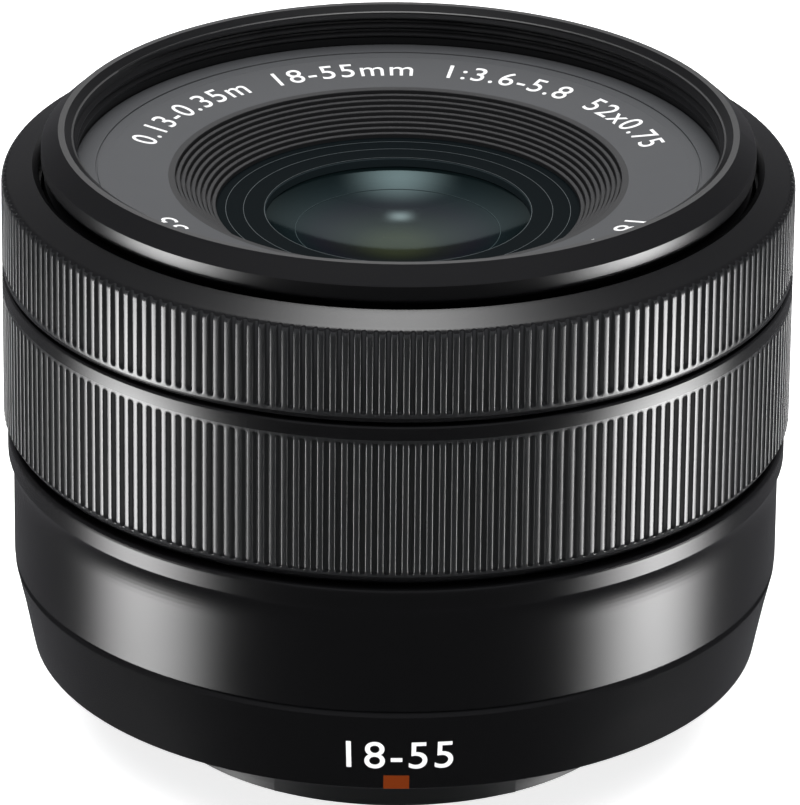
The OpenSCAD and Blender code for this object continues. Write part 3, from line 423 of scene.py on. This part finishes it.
# %% [markdown]
# ## Dressing the CAD nodes
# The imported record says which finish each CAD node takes. A node whose shape is right stays as it is
# and only gets its material.

# %% Materials on the CAD nodes
for row in frame["record"]["subparts"]:
    for material_slot in nodes[row["node"]].material_slots:
        material_slot.material = finishes[row["material_slot"]]

# %% [markdown]
# ## A mesh from points and faces
# Fine shapes are worked out in millimetres as points and faces. This helper welds the points that
# meet, turns all faces outward, smooths the round stretches and keeps real edges sharp. It also says
# which body of the lens the piece rides on.

# %% Piece helper
WELD = 0.0005


def piece(name, points, faces, slot, body, material=None, sharp=50):
    mesh = bpy.data.meshes.new(name)
    mesh.from_pydata([Vector(p) * MM for p in points], [], faces)
    shape = bmesh.new()
    shape.from_mesh(mesh)
    bmesh.ops.remove_doubles(shape, verts=shape.verts, dist=WELD * MM)
    bmesh.ops.recalc_face_normals(shape, faces=shape.faces)
    shape.to_mesh(mesh)
    shape.free()
    mesh.polygons.foreach_set("use_smooth", [True] * len(mesh.polygons))
    mesh.set_sharp_from_angle(angle=math.radians(sharp))
    mesh.materials.append(material or finishes[slot])
    shown = bpy.data.objects.new(name, mesh)
    bpy.context.scene.collection.objects.link(shown)
    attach(shown, body)
    print(name, len(mesh.vertices), "points")
    return shown


# %% [markdown]
# ## One flute
# The rings are gripped by 210 flutes with flat ribs between them. A flute could be cut with
# a boolean, but 210 cuts are slow and leave ragged edges. Instead one flute is worked out exactly:
# half of its section, from the middle of the groove to the middle of the rib. Each rib's edges are
# chamfered. At the front, where the flat of a rib mirrors only the dim room, its chamfers still
# mirror the side cards and draw two thin bright lines.

# %% Flute section
FLUTES = 210
FLUTE_DEPTH = 0.36
RIB_SHARE = 0.50
RIB_CHAMFER = 0.035
# Shares of the groove's half width and of its wall, from the bottom up.
GROOVE_CURVE = ((0.0, 0.0), (0.45, 0.05), (0.75, 0.25), (0.90, 0.60))
# Shares of the rib's half width and of its chamfer, from the edge to the middle.
RIB_CURVE = ((1.0, 1.0), (0.80, 0.15), (0.72, 0.0), (0.0, 0.0))

ring_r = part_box("zoom_ring")[1][0] / MM
pitch = 2 * math.pi * ring_r / FLUTES
rib_half = RIB_SHARE * pitch / 2
groove_half = pitch / 2 - rib_half
wall = FLUTE_DEPTH - RIB_CHAMFER
groove = [(groove_half * across, FLUTE_DEPTH - rise * wall) for across, rise in GROOVE_CURVE]
rib = [(pitch / 2 - rib_half * across, RIB_CHAMFER * drop) for across, drop in RIB_CURVE]
half = groove + rib
columns = [(-across, down) for across, down in reversed(half[1:])] + half
print("flute pitch", round(pitch, 3), "mm,", len(columns), "columns to a flute")

# %% [markdown]
# ## The flute's round end
# A flute that ends inside the ring has a round end, as a ball-nosed cutter leaves it. The half
# section is swung through a quarter turn about the flute's end, to the left and to the right. The
# end is a little fuller than a half circle. A strip joins it to the plain band, and where that band
# is cut back, the end leans with it.

# %% Flute ends
END_STEPS = 4
END_FULLNESS = 0.3


def at(u, r, z):
    turn = u / ring_r
    return (r * math.sin(turn), -r * math.cos(turn), z)


def ball_end(faces, centre_z, way, band_z, lean=0.0):
    last = len(half) - 1
    for side in (-1, 1):
        def spot(i, j):
            a = math.pi / 2 * j / END_STEPS
            across, down = half[i]
            across *= 1 + END_FULLNESS * math.sin(2 * a) ** 2 * (1 - i / last)
            reach = across * math.sin(a)
            return at(side * across * math.cos(a), ring_r - down - lean * reach, centre_z + way * reach)

        def band(j):
            a = math.pi / 2 * j / END_STEPS
            return at(side * pitch / 2 * math.cos(a), ring_r - lean * abs(band_z - centre_z), band_z)

        for j in range(END_STEPS):
            faces.append([spot(0, 0), spot(1, j), spot(1, j + 1)])
            for i in range(1, last):
                faces.append([spot(i, j), spot(i + 1, j), spot(i + 1, j + 1), spot(i, j + 1)])
            faces.append([spot(last, j), spot(last, j + 1), band(j + 1), band(j)])


print("steps to a quarter of an end:", END_STEPS)

# %% [markdown]
# ## From one flute to a ring
# Above and below the flutes plain bands are turned like on a lathe, with one step to a flute. The
# pattern for one flute is then repeated around the axis and welded. An array modifier could repeat
# it too, but it would have to be applied before the fluted zone gets its own finish, face by face.

# %% Ring pattern
FLUTE_REACH = 1.2


def band_step(faces, band_r, band_z, next_r, next_z):
    row = [pitch / 2 * math.cos(math.pi * j / (2 * END_STEPS)) for j in range(2 * END_STEPS + 1)]
    faces.append([at(u, band_r, band_z) for u in row]
                 + [at(-pitch / 2, next_r, next_z), at(pitch / 2, next_r, next_z)])


def turned_rows(faces, rows):
    for (r0, z0), (r1, z1) in zip(rows, rows[1:]):
        faces.append([at(-pitch / 2, r0, z0), at(pitch / 2, r0, z0),
                      at(pitch / 2, r1, z1), at(-pitch / 2, r1, z1)])


def repeated(name, faces, slot, body):
    points = []
    index_faces = []
    for k in range(FLUTES):
        spin = Matrix.Rotation(2 * math.pi * k / FLUTES, 3, "Z")
        for face in faces:
            index_faces.append(list(range(len(points), len(points) + len(face))))
            points.extend(spin @ Vector(p) for p in face)
    return piece(name, points, index_faces, slot, body)


# The fluted zone takes the paler finish, and its paler colour is painted sheen.
def sheen_painted_flutes(shown, low, high):
    shown.data.materials.append(finishes["rib_black"])
    for face in shown.data.polygons:
        middle = face.center / MM
        if low < middle.z < high and middle.xy.length > ring_r - FLUTE_REACH * FLUTE_DEPTH:
            face.material_index = 1


print("ring pattern ready")

# %% [markdown]
# ## Rounded edges
# A moulded edge is never sharp. A Bezier curve draws it in a section: it runs from the first point to
# the last, and the two points between pull it like the handles of a curve in Blender's own editor.

# %% Rounded edge helper
EDGE_STEPS = 6


def bezier(p, q, s, t, steps):
    rows = []
    for i in range(steps + 1):
        f = i / steps
        rows.append(tuple(a * (1 - f) ** 3 + 3 * b * f * (1 - f) ** 2 + 3 * c * f * f * (1 - f) + d * f ** 3
                          for a, b, c, d in zip(p, q, s, t)))
    return rows


print("steps to an edge:", EDGE_STEPS)

# %% [markdown]
# ## The zoom ring
# The zoom ring's flutes are round at both ends, below a smooth rounded band and above a foot that is
# cut back towards the housing. The cut starts right below the ribs and faces down, so it stays black.
# A short row at either end of the flutes keeps the shading of the ends out of the long walls.

# %% Zoom ring
RING_IN_R = 29.5
ZOOM_FLUTE_LOW = 20.25
ZOOM_FLUTE_TOP = 31.35
BAND_GAP = 0.02
END_ROW = 0.1
ZOOM_ROUND = 0.2
FOOT_LEAN = 0.6
FOOT_CUT = 0.25
FOOT_TALL = 0.4
FOOT_IN = 1.0

zoom_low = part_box("zoom_ring")[0][2] / MM
zoom_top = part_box("zoom_ring")[1][2] / MM
low_end = ZOOM_FLUTE_LOW + groove_half
top_end = ZOOM_FLUTE_TOP - groove_half
low_band = low_end - pitch / 2 - BAND_GAP
top_band = top_end + pitch / 2 + BAND_GAP
zoom_faces = []
levels = (low_end, low_end + END_ROW, top_end - END_ROW, top_end)
for (u0, d0), (u1, d1) in zip(columns, columns[1:]):
    for z0, z1 in zip(levels, levels[1:]):
        zoom_faces.append([at(u0, ring_r - d0, z0), at(u1, ring_r - d1, z0),
                           at(u1, ring_r - d1, z1), at(u0, ring_r - d0, z1)])
ball_end(zoom_faces, low_end, -1, low_band, FOOT_LEAN)
ball_end(zoom_faces, top_end, 1, top_band)
zoom_over = [(ring_r, top_band + BAND_GAP)] + bezier(
    (ring_r, zoom_top - ZOOM_ROUND), (ring_r, zoom_top - ZOOM_ROUND / 2),
    (ring_r - ZOOM_ROUND / 2, zoom_top), (ring_r - ZOOM_ROUND, zoom_top), EDGE_STEPS)
low_r = ring_r - FOOT_LEAN * (low_end - low_band)
zoom_under = [(ring_r - FOOT_IN, zoom_low), (low_r - FOOT_CUT, low_band - FOOT_TALL),
              (low_r, low_band - BAND_GAP)]
band_step(zoom_faces, ring_r, top_band, *zoom_over[0])
band_step(zoom_faces, low_r, low_band, *zoom_under[-1])
turned_rows(zoom_faces, zoom_over + [(RING_IN_R, zoom_top), (RING_IN_R, zoom_low)] + zoom_under)
zoom_ring = repeated("zoom_ring_fluted", zoom_faces, "ring_black", "zoom_ring")
sheen_painted_flutes(zoom_ring, low_band, top_band)
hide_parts("zoom_ring")

# %% [markdown]
# ## The control ring's shoulder
# The control ring ends in a sloping shoulder with a rounded edge. Its section is drawn in many fine
# steps, because the flutes run out through it, and each one has to find the step where it does.

# %% Shoulder
CONTROL_FLUTE_TOP = 40.4
SHOULDER_R = 28.85
SHOULDER_ROUND = 0.4
ROUND_PULL = 0.15
PULL_RISE = 0.05
CURVE_STEPS = 80
SLOPE_STEPS = 200
ROUNDING = 1e-9

control_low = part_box("control_ring")[0][2] / MM
control_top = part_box("control_ring")[1][2] / MM
shoulder = bezier(
    (ring_r, CONTROL_FLUTE_TOP - SHOULDER_ROUND), (ring_r, CONTROL_FLUTE_TOP - ROUND_PULL),
    (ring_r - ROUND_PULL, CONTROL_FLUTE_TOP + PULL_RISE),
    (ring_r - SHOULDER_ROUND, CONTROL_FLUTE_TOP + ROUND_PULL), CURVE_STEPS)
edge_r, edge_z = shoulder[-1]
for i in range(1, SLOPE_STEPS + 1):
    shoulder.append((edge_r + (SHOULDER_R - edge_r) * i / SLOPE_STEPS,
                     edge_z + (control_top - edge_z) * i / SLOPE_STEPS))


def shoulder_step(depth):
    return next(i for i, (r, z) in enumerate(shoulder) if r <= ring_r - depth + ROUNDING)


print("shoulder drawn in", len(shoulder), "steps")

# %% [markdown]
# ## The control ring's flutes
# The flutes run up and out through the shoulder, so each one leaves an arch in it. For every column
# of the section the height is found where the column meets the shoulder, and a small chamfer takes
# off the sharp edge there. Above the arch a few rows lead over to the plain slope.

# %% Arched flutes
CONTROL_FLUTE_LOW = 33.72
ARCH_EDGE = 0.06
ARCH_ROWS = 4
ARCH_MARGIN = 12
CHAMFER_STEPS = 10

control_end = CONTROL_FLUTE_LOW + groove_half
control_band = control_end - pitch / 2 - BAND_GAP
arch_top = shoulder_step(FLUTE_DEPTH) + ARCH_MARGIN
control_faces = []
strips = []
for u, depth in columns:
    first = shoulder_step(depth)
    chamfer = min(ARCH_EDGE, depth / 2)
    strip = [at(u, ring_r - depth, control_end), at(u, ring_r - depth, shoulder[first][1] - chamfer)]
    over = first + round(CHAMFER_STEPS * chamfer / ARCH_EDGE)
    for k in range(ARCH_ROWS + 1):
        step = round(over + (arch_top - over) * k / ARCH_ROWS)
        strip.append(at(u, *shoulder[step]))
    strips.append(strip)
for left, right in zip(strips, strips[1:]):
    for k in range(len(left) - 1):
        control_faces.append([left[k], right[k], right[k + 1], left[k + 1]])
ball_end(control_faces, control_end, -1, control_band)
print("faces to a flute:", len(control_faces))

# %% [markdown]
# ## The control ring
# The rest of the ring is turned: the slope and the lip inside it, the bore, and a lower edge that is
# rounded and reaches a little over the gap below it.

# %% Control ring
SLOPE_START = 8
SLOPE_SKIP = 24
LIP_R = 28.4
LIP_UNDER_Z = 39.9
LIP_DROP = 0.25
CONTROL_LIP = 0.22
LOW_ROUND = 0.25
LOW_SOFT = 0.05
FOOT_BACK = 0.6

foot_r = ring_r - FOOT_BACK
slope_rows = [shoulder[i] for i in range(arch_top + SLOPE_START, len(shoulder), SLOPE_SKIP)] + [shoulder[-1]]
control_faces.append([strip[-1] for strip in strips]
                     + [at(pitch / 2, *slope_rows[0]), at(-pitch / 2, *slope_rows[0])])
lip_z = control_low - CONTROL_LIP
control_under = [(RING_IN_R, control_low), (foot_r, control_low), (foot_r + LOW_SOFT, lip_z)] + bezier(
    (ring_r - LOW_ROUND, lip_z + LOW_SOFT), (ring_r - 2 * LOW_SOFT, lip_z + 2 * LOW_SOFT),
    (ring_r, lip_z + 3 * LOW_SOFT), (ring_r, control_band - BAND_GAP), EDGE_STEPS)
band_step(control_faces, ring_r, control_band, *control_under[-1])
turned_rows(control_faces, slope_rows + [(LIP_R, control_top - LIP_DROP), (LIP_R, LIP_UNDER_Z),
                                         (RING_IN_R, LIP_UNDER_Z)] + control_under)
control_ring = repeated("control_ring_fluted", control_faces, "ring_black", "control_ring")
sheen_painted_flutes(control_ring, control_band, CONTROL_FLUTE_TOP)
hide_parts("control_ring")

# %% [markdown]
# ## Turned pieces
# Round pieces are drawn as half of their section, like on a lathe: a closed line of radius and height
# pairs that is swept around the axis. Blender's screw modifier does the same, but the points are laid
# out here directly, so that the piece helper can weld them where the line touches the axis.

# %% Lathe helper
TURN_STEPS = 240


def turned(name, section, slot, body, material=None, sharp=30):
    points = []
    faces = []
    count = len(section)
    for k in range(TURN_STEPS):
        a = 2 * math.pi * k / TURN_STEPS
        points += [(r * math.sin(a), -r * math.cos(a), z) for r, z in section]
        here, there = k * count, (k + 1) % TURN_STEPS * count
        for i in range(count):
            after = (i + 1) % count
            faces.append((here + i, here + after, there + after, there + i))
    return piece(name, points, faces, slot, body, material=material, sharp=sharp)


print("steps to a turn:", TURN_STEPS)

# %% [markdown]
# ## The stepped cone
# The ridges around the glass catch stray light before it gets in. Each ridge is a flat tread with
# a narrow groove behind it, and it is the groove that draws the black line. The tread's edge is
# eased a little, because a turning tool never leaves it razor sharp. A bump texture could draw the
# lines too, but from the side the ridges would look flat.

# %% Stepped cone
CONE_STEPS = 9
CONE_W = 3.6
CONE_BASE = 0.5
CONE_RIM = 1.0
CONE_TAPER = 1.1
GROOVE_W = 0.13
GROOVE_DEEP = 0.22
TREAD_FALL = 0.04
EASE = 0.04
PLATE_IN = (18.15, 40.3)

cone_low, cone_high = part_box("stepped_cone")
cone_r = cone_high[0] / MM
cone_top = cone_high[2] / MM
cone_bot = cone_low[2] / MM + CONE_BASE
cone_hole_r = cone_r - CONE_W
tread_w = (cone_r - cone_hole_r) / CONE_STEPS
tread_drop = (cone_top - cone_bot) / CONE_STEPS
cone_section = [(cone_hole_r, cone_bot - CONE_BASE), (cone_r - CONE_TAPER, cone_bot - CONE_BASE),
                (PLATE_IN[0], cone_top - CONE_RIM)]
for i in range(CONE_STEPS):
    outer = cone_r - i * tread_w
    inner = outer - tread_w
    z = cone_top - i * tread_drop
    tread_r = outer - GROOVE_W if i else PLATE_IN[0]
    cone_section += [(tread_r, z), (inner + EASE, z - TREAD_FALL), (inner, z - TREAD_FALL - EASE)]
    if i < CONE_STEPS - 1:
        groove_z = z - tread_drop - GROOVE_DEEP
        cone_section += [(inner, groove_z), (inner - GROOVE_W, groove_z)]
stepped_cone = turned("stepped_cone_grooved", cone_section, "cone_black", "front_barrel")
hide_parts("stepped_cone")

# %% [markdown]
# ## The painted ledge
# The grey paint of the name plate goes on over the ledge between the plate and the filter thread.
# Colour alone would leave the joint between them open, so the paint is a thin turned skin that
# bridges it and leaves only a fine seam.

# %% Painted ledge
PLATE_OUT = (22.9, 40.95)
LEDGE_Z = 41.0
LEDGE_OUT_R = 25.5
PAINT = 0.03
PAINT_UNDER = 0.12
PAINT_FALL = 0.045
SEAM_R = 23.8
SEAM_TOP = 0.08
SEAM_FOOT = 0.06
SEAM_DEEP = 0.08

turned("ledge_paint", [
    (PLATE_OUT[0], LEDGE_Z - PAINT_UNDER), (LEDGE_OUT_R, LEDGE_Z - PAINT), (LEDGE_OUT_R, LEDGE_Z + PAINT),
    (SEAM_R + SEAM_TOP, LEDGE_Z + PAINT), (SEAM_R + SEAM_FOOT, LEDGE_Z - SEAM_DEEP),
    (SEAM_R - SEAM_FOOT, LEDGE_Z - SEAM_DEEP), (SEAM_R - SEAM_TOP, LEDGE_Z),
    (PLATE_OUT[0], LEDGE_Z - PAINT_FALL)], "name_grey", "front_barrel")

# %% [markdown]
# ## Around the front glass
# A blackened step holds the front glass, and a thin grey sleeve lines its bore. Thin pale rings at
# the step's edge, at two seams in its slope and on the rear face of the glass are painted glints. All
# of these are turned parts, so each one is a small closed section for the lathe helper.

# %% Glass surround
STEP_R = 10.55
STEP_Z = 37.3
STEP_FOOT = 36.56
STEP_RISE = 0.12
SLEEVE_T = 0.06
SLEEVE_DOWN = 0.05
CIRCLE_W = 0.04
CIRCLE_HALF = 0.02
# Radius and height of the painted glint rings: the step's edge, two seams in its slope, and a ring on the
# glass's rear face.
CIRCLES = ((STEP_R, STEP_Z), (12.2, STEP_Z + 0.05), (13.6, STEP_Z + 0.095), (8.1, 35.58))

# Step: nearly no light comes back from it.
step_black = grained("blackened brass", {
    "Base Color": linear("#0c1113"), "Specular IOR Level": 0.01}, 0.20, 0.002, (0.40, 0.50))
# Sleeve: a dull blue-grey band.
step_grey = grained("bead-blasted grey sleeve", {
    "Base Color": linear("#2a3336"), "Specular IOR Level": 0.05}, 0.20, 0.002, (0.40, 0.50))
# Painted glints: pale rings against the black, in place of light caught on edges.
painted_glint = grained("pale ring, painted glint", {
    "Base Color": linear("#4c5254"), "Specular IOR Level": 0.2}, 0.20, 0.001, (0.40, 0.50))
turned("glass_step", [
    (STEP_R, STEP_FOOT), (cone_hole_r, STEP_FOOT), (cone_hole_r, STEP_Z + STEP_RISE), (STEP_R, STEP_Z)],
    "cone_black", "front_barrel", material=step_black)
turned("glass_sleeve", [
    (STEP_R - SLEEVE_T, STEP_FOOT), (STEP_R, STEP_FOOT), (STEP_R, STEP_Z - SLEEVE_DOWN),
    (STEP_R - SLEEVE_T, STEP_Z - 2 * SLEEVE_DOWN)], "cone_black", "front_barrel", material=step_grey)
for r, z in CIRCLES:
    turned("glass_circle_%d" % (10 * r), [
        (r, z - CIRCLE_HALF), (r + CIRCLE_W, z - CIRCLE_HALF), (r + CIRCLE_W, z + CIRCLE_HALF),
        (r, z + CIRCLE_HALF)], "cone_black", "front_barrel", material=painted_glint)

# %% [markdown]
# ## The coating of the rear face
# The rear face of the front glass is opaque, and its colour is a painted reflection: it goes from olive
# in the middle over violet to teal, as a coating's reflected tint does where light meets it at another
# angle. The angle itself isn't used, because the colour would then swim with the camera. The distance from
# the axis picks the colour instead.

# %% Coating
HOLLOW_R = 10.5

# Coated glass: dark, and it mirrors the cards softly in a cool tint.
coating, coat_tree, coat_shader = start("coated glass, hollow face", {
    "Roughness": 0.09, "IOR": 1.8, "Specular IOR Level": 0.22, "Specular Tint": linear("#c4d8dc")})
coat_place = add(coat_tree, "ShaderNodeTexCoord", {}, {})
coat_flat = add(coat_tree, "ShaderNodeVectorMath", {"operation": "MULTIPLY", 1: (1, 1, 0)},
                {0: coat_place.outputs["Object"]})
coat_r = add(coat_tree, "ShaderNodeVectorMath", {"operation": "LENGTH"}, {0: coat_flat.outputs[0]})
coat_share = add(coat_tree, "ShaderNodeMapRange", {"From Max": HOLLOW_R * MM},
                 {"Value": coat_r.outputs["Value"]})
# The base colour by distance from the axis is painted reflection: the coating's tints.
painted_tint_ramp = add(coat_tree, "ShaderNodeValToRGB", {}, {"Fac": coat_share.outputs["Result"]})
stops = painted_tint_ramp.color_ramp.elements
stops[0].position, stops[0].color = 0.16, linear("#3a3a26")
stops[1].position, stops[1].color = 1.0, linear("#0e1617")
for position, colour in ((0.36, "#262522"), (0.58, "#231f27"), (0.78, "#1c2427")):
    stops.new(position).color = linear(colour)
coat_tree.links.new(painted_tint_ramp.outputs["Color"], coat_shader.inputs["Base Color"])
print("coating of", len(stops), "colours")

# %% [markdown]
# ## The front glass
# The front glass is drawn whole, like on a lathe: its domed front, its edge and its hollow rear face.
# The front is clear. The rear face is opaque, takes the painted coating tints and mirrors the cards softly.

# %% Front glass
GLASS_R = 11.2
GLASS_STEPS = 24
DOME_CURVE = 150.0
DOME_SKIN = 0.1
HOLLOW_Z = 34.2
HOLLOW_CURVE = 24.0


def bowl(rim_r, middle_z, curve):
    radii = [rim_r * i / GLASS_STEPS for i in range(GLASS_STEPS + 1)]
    return [(r, middle_z + r ** 2 / (2 * curve)) for r in radii]


dome_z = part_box("front_lens")[1][2] / MM
dome = bowl(GLASS_R, dome_z, -DOME_CURVE)
hollow = bowl(HOLLOW_R, HOLLOW_Z, HOLLOW_CURVE)
front_glass = turned("front_glass", dome + [(GLASS_R, HOLLOW_Z)] + hollow[::-1], "glass_front",
                     "front_barrel")
front_glass.data.materials.append(coating)
for face in front_glass.data.polygons:
    middle = face.center / MM
    if middle.z < dome_z - middle.xy.length_squared / (2 * DOME_CURVE) - DOME_SKIN:
        face.material_index = 1
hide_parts("front_lens")

# %% [markdown]
# ## The filter thread
# Filters screw into the front. The CAD bore is plain, so the thread's crests are added here as
# a helix of 0.75 mm pitch, with both ends run out to nothing as a cutter leaves them. A screw
# modifier would give the helix, but not the run-out, so a loop lays the points.

# %% Filter thread
THREAD_R = 25.6
THREAD_PITCH = 0.75
THREAD_DEPTH = 0.30
THREAD_ROOT = 0.05
THREAD_LOW = 41.73
THREAD_TURNS = 2.42
THREAD_STEPS = 160
RUN_OUT = 0.10
SIDES = 4
# Half widths of the root and of the crest, as shares of the pitch.
ROOT_HALF = 0.46
CREST_HALF = 0.07

thread_points = []
thread_faces = []
count = int(THREAD_TURNS * THREAD_STEPS)
root = THREAD_R + THREAD_ROOT
for k in range(count + 1):
    turn = k / THREAD_STEPS
    grow = min(1.0, turn / RUN_OUT, (THREAD_TURNS - turn) / RUN_OUT)
    z = THREAD_LOW + turn * THREAD_PITCH
    crest = THREAD_R - THREAD_DEPTH * grow
    for r, dz in ((root, -ROOT_HALF), (crest, -CREST_HALF), (crest, CREST_HALF), (root, ROOT_HALF)):
        thread_points.append((r * math.cos(2 * math.pi * turn), r * math.sin(2 * math.pi * turn),
                              z + dz * THREAD_PITCH))
    if k:
        a = SIDES * (k - 1)
        b = SIDES * k
        thread_faces += [(a + i, a + (i + 1) % SIDES, b + (i + 1) % SIDES, b + i) for i in range(SIDES)]
thread_faces += [tuple(end + i for i in range(SIDES)) for end in (0, SIDES * count)]
piece("filter_thread_crests", thread_points, thread_faces, "barrel_black", "front_barrel", sharp=30)

# %% [markdown]
# ## Printed figures
# The plate and the skirt carry printed figures. An image texture would blur close up. Blender's own
# font gives flat outlines instead: these are turned into a thin mesh, and every point is then moved
# onto the round surface.

# %% Figures helper
INK = 0.012
FIGURE_SPACING = 1.12


def figures(name, text, tall, weight, place, slot, body):
    curve = bpy.data.curves.new(name, "FONT")
    curve.body = text
    curve.align_x = "CENTER"
    curve.extrude = INK
    curve.offset = weight
    curve.space_character = FIGURE_SPACING
    flat = bpy.data.objects.new(name, curve)
    bpy.context.scene.collection.objects.link(flat)
    bpy.context.view_layer.update()
    mesh = bpy.data.meshes.new_from_object(flat.evaluated_get(bpy.context.evaluated_depsgraph_get()))
    bpy.data.objects.remove(flat)
    points = [v.co.copy() for v in mesh.vertices]
    faces = [list(p.vertices) for p in mesh.polygons]
    bpy.data.meshes.remove(mesh)
    low = min(p.y for p in points)
    scale = tall / (max(p.y for p in points) - low)
    placed = [place(p.x * scale, (p.y - low) * scale, INK if p.z > 0 else -INK) for p in points]
    piece(name, placed, faces, slot, body, material=white_ink, sharp=40)


print("ink stands", INK, "mm proud")

# %% [markdown]
# ## Figures on the plate
# The plate is a shallow cone, so a figure's height becomes a radius, its width an angle, and the
# cone's slope gives every point its height. The figures are plain sizes.

# %% Plate figures
PLATE_TEXT_R = 19.95
PLATE_TEXT_MID = PLATE_TEXT_R + 1
PLATE_TEXT_TALL = 2.05
PLATE_TEXT_WEIGHT = 0.002
plate_slope = (PLATE_OUT[1] - PLATE_IN[1]) / (PLATE_OUT[0] - PLATE_IN[0])


def on_plate(centre):
    def place(x, y, proud):
        a = math.radians(centre) + x / PLATE_TEXT_MID
        r = PLATE_TEXT_R + y
        return (r * math.sin(a), r * math.cos(a), PLATE_IN[1] + (r - PLATE_IN[0]) * plate_slope + proud)

    return place


for name, text, centre in (("plate_figures", "0.13-0.35m  18-55mm  1:3.6-5.8  52x0.75", 0),
                           ("plate_scale_left", "28  35", -129), ("plate_scale_right", "18  20", 128)):
    figures(name, text, PLATE_TEXT_TALL, PLATE_TEXT_WEIGHT, on_plate(centre), "name_grey", "front_barrel")

# %% [markdown]
# ## Figures on the skirt
# The skirt is two cones that meet in a waist. A figure's width becomes an angle again, and its height
# picks the cone that it stands on.

# %% Skirt figures
SKIRT_TEXT_LOW = 2.8
SKIRT_TEXT_TALL = 2.56
SKIRT_TEXT_WEIGHT = 0.004
SKIRT_LOW = (29.1, 1.0)
SKIRT_WAIST = (29.75, 4.3)
SKIRT_UP = (30.0, 5.5)


def on_skirt(x, y, proud):
    z = SKIRT_TEXT_LOW + y
    low, high = (SKIRT_LOW, SKIRT_WAIST) if z < SKIRT_WAIST[1] else (SKIRT_WAIST, SKIRT_UP)
    r = low[0] + (z - low[1]) * (high[0] - low[0]) / (high[1] - low[1]) + proud
    a = x / SKIRT_WAIST[0]
    return (r * math.sin(a), -r * math.cos(a), z)


figures("skirt_figures", "18-55", SKIRT_TEXT_TALL, SKIRT_TEXT_WEIGHT, on_skirt, "shell_black", "housing")

# %% [markdown]
# ## The end
# The dressed lens is complete.

# %% Finish
print("scene dressed")
